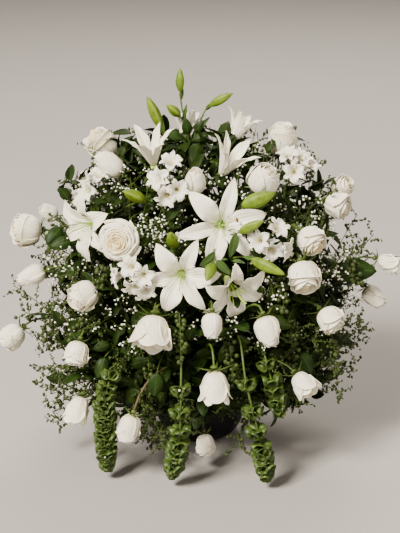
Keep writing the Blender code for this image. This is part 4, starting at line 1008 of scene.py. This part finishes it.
def makeAlstroFlower():
    plant, look = newPlant(), alstroLook
    foot, low, high = Vector((0.0015, 0)), Vector((0.004, 0.014)), Vector((0.011, 0.029))
    for number in range(6):
        wide = number % 2 == 0
        half, rise = look["wide"] if wide else look["narrow"]
        radial, tangent = roundAxis(math.tau * number / 6)
        tip = Vector((look["reach"], rise))

        def shape(u, v):
            out = bezier(foot, low, high, tip, v)
            swell = math.sin(math.pi * min(0.999, 0.05 + 0.95 * v ** 1.5)) ** 0.5
            width = half * swell * min(1, 0.25 + 1.3 * v)
            ruffle = look["ruffle"] * math.sin(v * 15 + 2.4 * u + number * 2) * abs(u) ** 1.5 * v
            ruffle -= look["tipFall"] * v ** 6
            dip = 0.30 * width * u * u - look["groove"] * math.exp(-(u * 4) ** 2)
            outward = radial * (out.x - 0.1 * width * u * u)
            return outward + tangent * (u * width) + raised(out.y + dip + ruffle)

        placeOnce(plant, petalSheet(6, 9, look["thickness"], shape, 1 if wide else 2))
    threads = []
    for number in range(6):
        side = heading(60 * number + 30, 0) * 0.004
        thread = [raised(0.002), side * 0.6 + raised(0.014), side + raised(0.024)]
        threads.append(taper(thread, *look["thread"]))
    addStems(plant, threads, 2, 0)
    return toMesh(plant)


def makeAlstroemeria(bunch):
    plant = newPiece(bunch)
    flower, look = makeAlstroFlower(), alstroLook
    stems = []
    for middle, azimuth, elevation, flowers in alstroemeria[bunch]:
        middle, facing = Vector(middle), heading(azimuth, elevation)
        fork = middle - facing * look["stalk"]
        points = stemWay(bunch, fork, facing)
        stems.append(taper(points, *look["stem"]))
        for number in range(flowers):
            out = sideways(facing, math.tau * number / flowers + 0.4)
            spread = look["spread"] * draw.uniform(0.8, 1.2) if number else look["first"]
            foot = middle - facing * 0.014 + out * spread
            way = (facing + out * look["lean"] * spread / look["spread"] + sway(0.3)).normalized()
            stalk = arc(fork - facing * 0.006, fork + facing * 0.01, foot - way * 0.012, foot, 6)
            stems.append(taper(stalk, *look["flowerStalk"]))
            place(plant, flower, aim(foot, way, draw.uniform(0, 1)))
        for _ in range(look["leaves"]):
            spot, way = onArc(points, draw.uniform(0.5, 0.95))
            putLeaf(plant, lilyLeaf, spot, way + sway(0.9), look["leaf"], Vector(look["leafFace"]))
    bpy.data.meshes.remove(flower)
    addStems(plant, stems, 0, 1)
    finishPlant(plant, bunch, "white_alstroemeria", "stemGreen", "alstroemeriaPetal", "alstroemeriaStreak")


for bunch in alstroemeria:
    makeAlstroemeria(bunch)
print("alstroemeria ready")


# bells of Ireland: the route of each stem, the length of its dense end, the step between whorls there,
# how far from the tip the loose whorls above it stand, bells in a whorl, their size and their stalks
bellRoutes = {
    "bells_of_ireland_1": {
        "route": ((-0.105, -0.125, 0.200), (-0.160, -0.200, 0.235), (-0.185, -0.236, 0.190),
                  (-0.189, -0.240, 0.100), (-0.186, -0.243, 0.026)),
        "dense": 0.150, "step": 0.0085, "loose": (0.162, 0.176, 0.200),
        "bells": 8, "size": 0.82, "stalk": 0.0085,
    },
    "bells_of_ireland_2": {
        "route": ((-0.030, -0.140, 0.270), (-0.036, -0.225, 0.300), (-0.037, -0.280, 0.230),
                  (-0.040, -0.292, 0.120), (-0.056, -0.276, 0.026)),
        "dense": 0.088, "step": 0.0105, "loose": (0.112, 0.150, 0.196),
        "bells": 6, "size": 1.0, "stalk": 0.0040,
    },
    "bells_of_ireland_3": {
        "route": ((0.050, -0.130, 0.255), (0.076, -0.215, 0.300), (0.090, -0.275, 0.225),
                  (0.118, -0.288, 0.110), (0.132, -0.284, 0.026)),
        "dense": 0.078, "step": 0.0105, "loose": (0.106, 0.150, 0.206),
        "bells": 6, "size": 1.05, "stalk": 0.0040,
    },
    "bells_of_ireland_4": {
        "route": ((0.085, -0.100, 0.230), (0.110, -0.165, 0.300), (0.128, -0.215, 0.260),
                  (0.145, -0.235, 0.200), (0.158, -0.240, 0.145)),
        "dense": 0.034, "step": 0.0110, "loose": (0.052, 0.072, 0.108),
        "bells": 5, "size": 1.0, "stalk": 0.0035,
    },
}
bellLook = {
    "deep": 0.0135, "wide": 0.0120, "thickness": 0.0006, "lobes": 5, "tip": 0.72, "full": 1.08,
    "grownAt": 0.03, "floret": 0.0030, "flowering": 0.10, "stem": 0.0028,
}


def smoothRoute(corners, count):  # an even curve through the corners, and its length
    padded = [corners[0] * 2 - corners[1]] + corners + [corners[-1] * 2 - corners[-2]]
    curve, steps = [], 12
    for a, b, c, d in zip(padded, padded[1:], padded[2:], padded[3:]):
        for step in range(steps):
            t = step / steps
            square, cube = (2 * a - 5 * b + 4 * c - d) * t ** 2, (3 * b - a - 3 * c + d) * t ** 3
            curve.append(0.5 * (2 * b + (c - a) * t + square + cube))
    curve.append(corners[-1])
    lengths = [0]
    for first, second in zip(curve, curve[1:]):
        lengths.append(lengths[-1] + (second - first).length)
    even = []
    for i in range(count):
        wanted = lengths[-1] * i / (count - 1)
        k = max(j for j in range(len(curve)) if lengths[j] <= wanted + 1e-9)
        k = min(k, len(curve) - 2)
        even.append(curve[k].lerp(curve[k + 1], (wanted - lengths[k]) / (lengths[k + 1] - lengths[k])))
    return even, lengths[-1]


def makeBell():
    def shape(u, v):
        angle = math.pi * u
        lobes = v * math.cos(bellLook["lobes"] * angle)
        radius = bellLook["wide"] * (0.14 + 0.86 * math.sin(v * math.pi / 2) ** 1.3) * (1 + 0.02 * lobes)
        return onRing(angle, radius, bellLook["deep"] * v ** 1.2 - 0.0005 * lobes)

    return petalSheet(10, 2, bellLook["thickness"], shape, 1)


def makeBellFloret():
    floret = newPlant()
    bmesh.ops.create_icosphere(floret, subdivisions=1, radius=bellLook["floret"], calc_uvs=True)
    bmesh.ops.translate(floret, vec=(0, 0, bellLook["deep"] * 0.55), verts=floret.verts)
    return asMesh(floret, 2)


def makeBells(bunch):
    plant = newPiece(bunch)
    own, look = bellRoutes[bunch], bellLook
    root, way = rootOf(bunch)
    points, length = smoothRoute([root, root + way * 0.02] + [Vector(point) for point in own["route"]], 60)
    addStems(plant, [taper(points, look["stem"], look["stem"] * 0.65)], 0, 2)
    bell, floret = makeBell(), makeBellFloret()
    whorls = [number * own["step"] for number in range(int(own["dense"] / own["step"]) + 1)]
    for number, fromTip in enumerate([*whorls, *own["loose"]]):
        spot, way = onArc(points, min(1 - fromTip / length, 0.995))
        grown = look["tip"] + (look["full"] - look["tip"]) * min(1, fromTip / look["grownAt"])
        for turn in range(own["bells"]):
            angle = math.tau * (turn + 0.5 * (number % 2)) / own["bells"] + draw.uniform(-0.2, 0.2)
            out = sideways(way, angle)
            facing = (out + way * draw.uniform(0.1, 0.8) + sway(0.15)).normalized()
            stalk = own["stalk"] * draw.uniform(0.3, 1.4) * min(1, 0.4 + fromTip / 0.05)
            size = Matrix.Scale(own["size"] * grown * draw.uniform(0.80, 1.08), 4)
            put = aim(spot + out * stalk, facing, draw.uniform(0, 6)) @ size
            place(plant, bell, put)
            if draw.random() < look["flowering"]:
                place(plant, floret, put)
    bpy.data.meshes.remove(bell)
    bpy.data.meshes.remove(floret)
    finishPlant(plant, bunch, "bell_green", "stemGreen", "bellGreen", "gypsophilaFloret")


for bunch in bellRoutes:
    makeBells(bunch)
print("bells of Ireland ready")


# the dome that the fine fillers grow up to; they leave the blooms open to the viewer
dome = {
    "middle": (0, 0, 0.21), "side": 0.335, "front": 0.245, "back": 0.215, "up": 0.43, "down": 0.13,
    "square": 2.7,
}
keepClear = {  # shares of a rose's width and of a lily's reach, then metres
    "rose": 0.45, "lily": 0.7, "alstroemeria": 0.036, "behind": 0.01,
}
toViewer = heading(0, stageLook["elevation"])
bloomSpots = []
for bunch in roses.values():
    for middle, _, _, width, *_ in bunch.values():
        bloomSpots.append((Vector(middle), width * keepClear["rose"]))
for bunch in lilies.values():
    for foot, azimuth, elevation, _, reach, depth, *_ in bunch.values():
        middle = Vector(foot) + heading(azimuth, elevation) * depth * 0.7
        bloomSpots.append((middle, reach * keepClear["lily"]))
for bunch in alstroemeria.values():
    for middle, *_ in bunch:
        bloomSpots.append((Vector(middle), keepClear["alstroemeria"]))


def hidesBloom(spot):
    for middle, radius in bloomSpots:
        gap = spot - middle
        depth = gap.dot(toViewer)
        if depth > -keepClear["behind"] and (gap - toViewer * depth).length < radius:
            return True
    return False


def domeReach(way):
    depth = dome["front"] if way.y < 0 else dome["back"]
    tall = dome["up"] if way.z > 0 else dome["down"]
    power = dome["square"]
    parts = (abs(way.x) / dome["side"], abs(way.y) / depth, abs(way.z) / tall)
    return sum(part ** power for part in parts) ** (-1 / power)


def domePoint(azimuth, elevation, share):
    way = heading(azimuth, elevation)
    return Vector(dome["middle"]) + way * domeReach(way) * share


def evenTip(number, side, near, far, low, high, inner, outer):  # spread evenly over a stretch of the dome
    across, up = ((0.5 + number * step) % 1 for step in (0.7549, 0.5698))
    azimuth, elevation = side * (near + (far - near) * across), low + (high - low) * up
    return domePoint(azimuth, elevation, draw.uniform(inner, outer))


def twigsAlong(points, count, low, length, lean=0.7):
    for number in range(count):
        spot, way = onArc(points, low + (1 - low) * (number + 0.5) / count)
        out = sideways(way, goldenTurn * number + draw.uniform(-0.3, 0.3))
        yield spot, (out + way * lean).normalized(), length * draw.uniform(0.7, 1.15)


# gypsophila: tips of the sprays that show most; the others spread evenly over the dome
gypsophila = {
    "gypsophila_left": ((-0.095, -0.185, 0.520), (-0.190, -0.190, 0.330), (-0.280, -0.080, 0.430)),
    "gypsophila_right": ((0.225, -0.110, 0.545), (0.110, 0.020, 0.660), (0.280, -0.110, 0.420)),
}
gypsophilaDense = {  # a thick cluster under the top alstroemeria
    "gypsophila_left": ((-0.085, -0.165, 0.530), (-0.055, -0.172, 0.520), (-0.070, -0.160, 0.505)),
}
gypsoLook = {
    "sprays": 16, "reach": (4, 110, 14, 78, 0.88, 1.0), "stem": (0.0010, 0.0006),  # reach: for evenTip
    "twigs": 10, "twigsFrom": 0.62, "twig": 0.034, "twigStem": (0.0005, 0.0004),
    "florets": 5, "floret": 0.0022, "thread": 0.0003,
}


def makeFloret():
    ball = newPlant()
    bmesh.ops.create_icosphere(ball, subdivisions=1, radius=1, calc_uvs=True)
    for vert in ball.verts:
        vert.co *= draw.uniform(0.85, 1.25)
    return asMesh(ball, 1, False)


def makeGypsophila(bunch):
    plant = newPiece(bunch)
    floret, look = makeFloret(), gypsoLook
    side = -1 if bunch.endswith("left") else 1
    tips = [Vector(point) for point in gypsophila[bunch] + gypsophilaDense.get(bunch, ())]
    for number in range(look["sprays"]):
        tips.append(evenTip(number, side, *look["reach"]))
    stems = []
    for tip in tips:
        way = (tip - rootOf(bunch)[0]).normalized()
        points = stemWay(bunch, tip, way, 10)
        stems.append(taper(points, *look["stem"]))
        for spot, along, length in twigsAlong(points, look["twigs"], look["twigsFrom"], look["twig"]):
            end = spot + along * length
            stems.append(taper([spot, spot.lerp(end, 0.5) + sway(0.002), end], *look["twigStem"]))
            for _ in range(look["florets"]):
                joint = spot.lerp(end, draw.uniform(0.4, 1))
                bloom = joint + (along + sway(1.0)).normalized() * draw.uniform(0.006, 0.018)
                if hidesBloom(bloom):
                    continue
                stems.append([(joint, look["thread"]), (bloom, look["thread"])])
                size = look["floret"] * draw.uniform(0.7, 1.15)
                place(plant, floret, Matrix.Translation(bloom) @ Matrix.Scale(size, 4))
    bpy.data.meshes.remove(floret)
    addStems(plant, stems, 0, 0)
    finishPlant(plant, bunch, "gypsophila", "stemGreen", "gypsophilaFloret")


for bunch in gypsophila:
    makeGypsophila(bunch)
print("gypsophila ready")


# trailing greens with seed pods, by the tips of their sprigs, and the leaves that fill the dome
trailing = {
    "trailing_greens_left": (
        (-0.395, 0.010, 0.330), (-0.372, -0.060, 0.300), (-0.300, -0.150, 0.150), (-0.275, 0.060, 0.545),
        (-0.330, -0.130, 0.190), (-0.305, -0.155, 0.120), (-0.290, -0.170, 0.200), (-0.120, -0.250, 0.170),
        (-0.075, -0.255, 0.080), (-0.310, 0.040, 0.250), (-0.340, -0.080, 0.240), (-0.225, 0.060, 0.620),
        (-0.100, -0.200, 0.110), (-0.020, -0.230, 0.130), (-0.300, -0.140, 0.080), (-0.330, -0.100, 0.140),
        (-0.318, -0.020, 0.430), (-0.300, 0.010, 0.480), (-0.335, 0.020, 0.395), (-0.285, -0.050, 0.500),
        (-0.250, 0.000, 0.560), (-0.180, 0.040, 0.620), (-0.120, 0.060, 0.645), (-0.060, 0.080, 0.655),
        (-0.090, 0.000, 0.630), (-0.150, 0.020, 0.600), (-0.020, 0.100, 0.650), (-0.030, 0.020, 0.620),
        (-0.090, -0.200, 0.060), (-0.050, -0.220, 0.055), (-0.115, -0.180, 0.070), (-0.030, -0.205, 0.090),
    ),
    "trailing_greens_right": (
        (0.365, 0.020, 0.440), (0.350, -0.070, 0.260), (0.290, -0.150, 0.150), (0.250, 0.080, 0.590),
        (0.315, -0.110, 0.190), (0.330, -0.120, 0.300), (0.280, -0.170, 0.220), (0.080, -0.255, 0.080),
        (0.345, 0.060, 0.350), (0.355, -0.020, 0.380), (0.240, -0.190, 0.280), (0.290, 0.110, 0.500),
        (0.100, -0.210, 0.120), (0.050, -0.220, 0.150), (0.310, -0.150, 0.250), (0.280, -0.020, 0.560),
        (0.020, 0.090, 0.655), (0.080, 0.080, 0.650), (0.120, 0.060, 0.650), (0.160, 0.080, 0.640),
        (0.200, 0.060, 0.630), (0.240, 0.040, 0.600), (0.060, 0.020, 0.630), (0.130, 0.000, 0.625),
        (0.010, 0.040, 0.620), (0.340, 0.000, 0.420), (0.320, -0.040, 0.440), (0.330, 0.030, 0.480),
    ),
}
trailLook = {
    "sprigs": 54, "sprigReach": (2, 128, -32, 80, 0.82, 1.02), "sprigStem": (0.0015, 0.0008),
    "twigs": 15, "twigsFrom": 0.45, "twig": 0.030, "twigStem": (0.0006, 0.0004), "pods": 7, "pod": 0.0034,
    "berry": 0.0055, "berriesPerString": 26, "berryStalk": 0.0004, "string": (0.0009, 0.0005),
    "leaves": 140, "leafReach": (1, 125, -30, 84, 0.62, 0.92), "leaf": 0.048, "leafStem": (0.0014, 0.0009),
    "perCluster": 5,
    # more clusters behind the uppermost lilies and at the shoulders: how many, then across, back and up
    "crown": (22, (0, 0.18), (-0.01, 0.09), (0.585, 0.645)),
    "shoulder": (16, (0.10, 0.27), (-0.03, 0.08), (0.46, 0.57)),
}
berryStrings = {  # top and foot of each hanging string
    "trailing_greens_left": (
        ((-0.040, -0.262, 0.365), (-0.038, -0.285, 0.270)),
        ((-0.190, -0.190, 0.440), (-0.205, -0.205, 0.375)),
        ((-0.240, -0.180, 0.325), (-0.270, -0.180, 0.215)),
        ((-0.300, -0.125, 0.340), (-0.315, -0.125, 0.260)),
        ((-0.100, -0.235, 0.250), (-0.110, -0.235, 0.140)),
    ),
    "trailing_greens_right": (
        ((0.056, -0.245, 0.300), (0.066, -0.262, 0.215)),
        ((0.180, -0.205, 0.300), (0.200, -0.205, 0.190)),
        ((0.262, -0.160, 0.300), (0.280, -0.150, 0.190)),
        ((0.160, -0.190, 0.420), (0.165, -0.215, 0.350)),
        ((0.300, -0.100, 0.440), (0.320, -0.100, 0.370)),
    ),
}


def makePod():
    pod = newPlant()
    bmesh.ops.create_uvsphere(pod, u_segments=5, v_segments=2, radius=1, calc_uvs=True)
    bmesh.ops.scale(pod, vec=(1, 1.2, 0.5), verts=pod.verts)
    return asMesh(pod, 2)


def makeBerry():
    berry = newPlant()
    bmesh.ops.create_uvsphere(berry, u_segments=8, v_segments=5, radius=trailLook["berry"], calc_uvs=True)
    return asMesh(berry, 2)


def hangBerries(plant, bunch, stems):
    berry, look = makeBerry(), trailLook
    root, way = rootOf(bunch)
    for top, foot in berryStrings[bunch]:
        top, foot = Vector(top), Vector(foot)
        stem = arc(root, root + way * 0.08, top + Vector((0, 0.03, 0.03)), top, 8)
        stems.append(taper(stem, *look["leafStem"]))
        stems.append(taper([top, top.lerp(foot, 0.5) + sway(0.003), foot], *look["string"]))
        for number in range(look["berriesPerString"]):
            joint = top.lerp(foot, (number + 0.5) / look["berriesPerString"])
            out = Vector((draw.uniform(-1, 1), draw.uniform(-1, 1), draw.uniform(-0.4, 0.4))).normalized()
            spot = joint + out * draw.uniform(0.005, 0.013)
            stems.append([(joint, look["berryStalk"]), (spot, look["berryStalk"])])
            place(plant, berry, Matrix.Translation(spot) @ Matrix.Scale(draw.uniform(0.6, 1.05), 4))
    bpy.data.meshes.remove(berry)


def makeTrailing(bunch):
    plant = newPiece(bunch)
    pod, look = makePod(), trailLook
    side = -1 if bunch.endswith("left") else 1
    root, rootWay = rootOf(bunch)
    tips = [Vector(point) for point in trailing[bunch]]
    for number in range(look["sprigs"]):
        tips.append(evenTip(number, side, *look["sprigReach"]))
    stems = []
    for tip in tips:
        way = (tip - root).normalized()
        points = stemWay(bunch, tip, (way - raised(0.5 if tip.z < 0.3 else 0)).normalized(), 12)
        stems.append(taper(points, *look["sprigStem"]))
        for spot, along, length in twigsAlong(points, look["twigs"], look["twigsFrom"], look["twig"]):
            end = spot + along * length
            stems.append(taper([spot, spot.lerp(end, 0.5) + sway(0.002), end], *look["twigStem"]))
            for number in range(look["pods"]):
                joint = spot.lerp(end, (number + 1) / look["pods"])
                out = (along * 0.5 + sway(1.0)).normalized()
                size = look["pod"] * draw.uniform(0.7, 1.2)
                if not hidesBloom(joint):
                    turned = (out + sway(1.0)).normalized()
                    place(plant, pod, aim(joint + out * 0.004, turned) @ Matrix.Scale(size, 4))
    spots = [evenTip(number, side, *look["leafReach"]) for number in range(look["leaves"])]
    for count, across, back, up in (look["crown"], look["shoulder"]):
        for _ in range(count):
            spots.append(Vector((side * draw.uniform(*across), draw.uniform(*back), draw.uniform(*up))))
    for spot in spots:
        out = (spot - Vector(dome["middle"])).normalized()
        along = (out * 0.5 + sway(1.0)).normalized()
        stalk = arc(root, root + rootWay * 0.05, spot - along * 0.04, spot, 6)
        stems.append(taper(stalk, *look["leafStem"]))
        for turn in range(look["perCluster"]):
            leafWay = sideways(along, goldenTurn * turn) + along * 0.6
            base = spot - along * 0.010 * turn
            if not hidesBloom(base):
                size = look["leaf"] * draw.uniform(0.7, 1.15)
                putLeaf(plant, fillerLeaf, base, leafWay, size, out + sway(0.3))
    bpy.data.meshes.remove(pod)
    hangBerries(plant, bunch, stems)
    addStems(plant, stems, 0, 0)
    finishPlant(plant, bunch, "trailing_green", "stemGreen", "fillerGreen", "podGreen")


for bunch in trailing:
    makeTrailing(bunch)
print("trailing greens ready")


# large leaves behind and between, by the tips of their stems
backTargets = (
    (-0.240, 0.150, 0.250), (-0.200, 0.170, 0.440), (-0.060, 0.215, 0.540), (0.060, 0.215, 0.420),
    (0.240, 0.150, 0.250), (0.000, 0.215, 0.250), (0.000, 0.120, 0.590),
)
backLook = {
    "sprays": 24, "azimuth": (-85, 85), "elevation": (-5, 65), "share": (0.80, 0.98), "leaf": 0.080,
    "leaves": 7, "leavesFrom": 0.45, "stem": (0.0020, 0.0012), "stalk": (0.0018, 0.0010),
    "frontFace": (0.1, -1, 0.5), "tipFace": (0, 0.6, 1),
}
showingLeaves = (  # those that show between the blooms: base, way and length
    ((0.275, -0.080, 0.395), (1, -0.2, 0.05), 0.085),
    ((-0.085, -0.245, 0.235), (-0.1, -0.3, -1), 0.050),
    ((-0.270, -0.020, 0.525), (-0.4, -0.3, 0.8), 0.036),
    ((0.200, -0.200, 0.260), (0.5, -0.2, -0.8), 0.050),
    ((-0.190, -0.200, 0.250), (-0.3, -0.5, -0.8), 0.045),
    ((-0.285, -0.030, 0.470), (-0.5, -0.6, -0.4), 0.048),
    ((-0.260, -0.060, 0.450), (-0.9, -0.4, -0.1), 0.048),
    ((-0.250, -0.080, 0.425), (-0.3, -0.4, -0.9), 0.052),
    ((-0.290, -0.020, 0.420), (-0.5, -0.2, 0.6), 0.045),
    ((-0.025, 0.035, 0.650), (-0.1, -0.3, 0.9), 0.036),
    ((-0.015, 0.035, 0.640), (0.7, -0.3, 0.3), 0.032),
    ((-0.035, 0.035, 0.640), (-0.7, -0.3, 0.3), 0.032),
    ((-0.045, 0.040, 0.655), (-0.6, -0.2, -0.2), 0.030),
    ((-0.010, 0.035, 0.655), (0.5, -0.2, 0.8), 0.030),
)


def makeBackFoliage():
    bunch, look = "back_foliage", backLook
    plant = newPiece(bunch)
    root, middle = rootOf(bunch)[0], Vector(dome["middle"])
    tips = [Vector(point) for point in backTargets]
    for _ in range(look["sprays"]):
        azimuth, elevation = 180 + draw.uniform(*look["azimuth"]), draw.uniform(*look["elevation"])
        tips.append(domePoint(azimuth, elevation, draw.uniform(*look["share"])))
    stems = []
    for tip in tips:
        way = (tip - root).normalized()
        points = stemWay(bunch, tip, way, 10)
        stems.append(taper(points, *look["stem"]))
        for spot, along, _ in twigsAlong(points, look["leaves"], look["leavesFrom"], 1, 0.5):
            size = look["leaf"] * draw.uniform(0.65, 1.05)
            if not hidesBloom(spot) and not hidesBloom(spot + along * size * 0.6):
                putLeaf(plant, broadLeaf, spot, along, size, spot - middle)
        if not hidesBloom(tip) and not hidesBloom(tip + way * look["leaf"] * 0.5):
            putLeaf(plant, broadLeaf, tip, way, look["leaf"] * 0.8, Vector(look["tipFace"]))
    for spot, along, size in showingLeaves:
        spot, along = Vector(spot), Vector(along)
        stalk = arc(root, raised(0.3), spot - along.normalized() * 0.05, spot, 8)
        stems.append(taper(stalk, *look["stalk"]))
        putLeaf(plant, broadLeaf, spot, along, size, Vector(look["frontFace"]))
    addStems(plant, stems, 0, 1)
    finishPlant(plant, bunch, "dark_leaf", "stemGreen", "roseLeafGreen")


makeBackFoliage()
print("back foliage ready")
print("triangles in all", sum(faceCounts.values()), "and at most", max(faceCounts.values()))
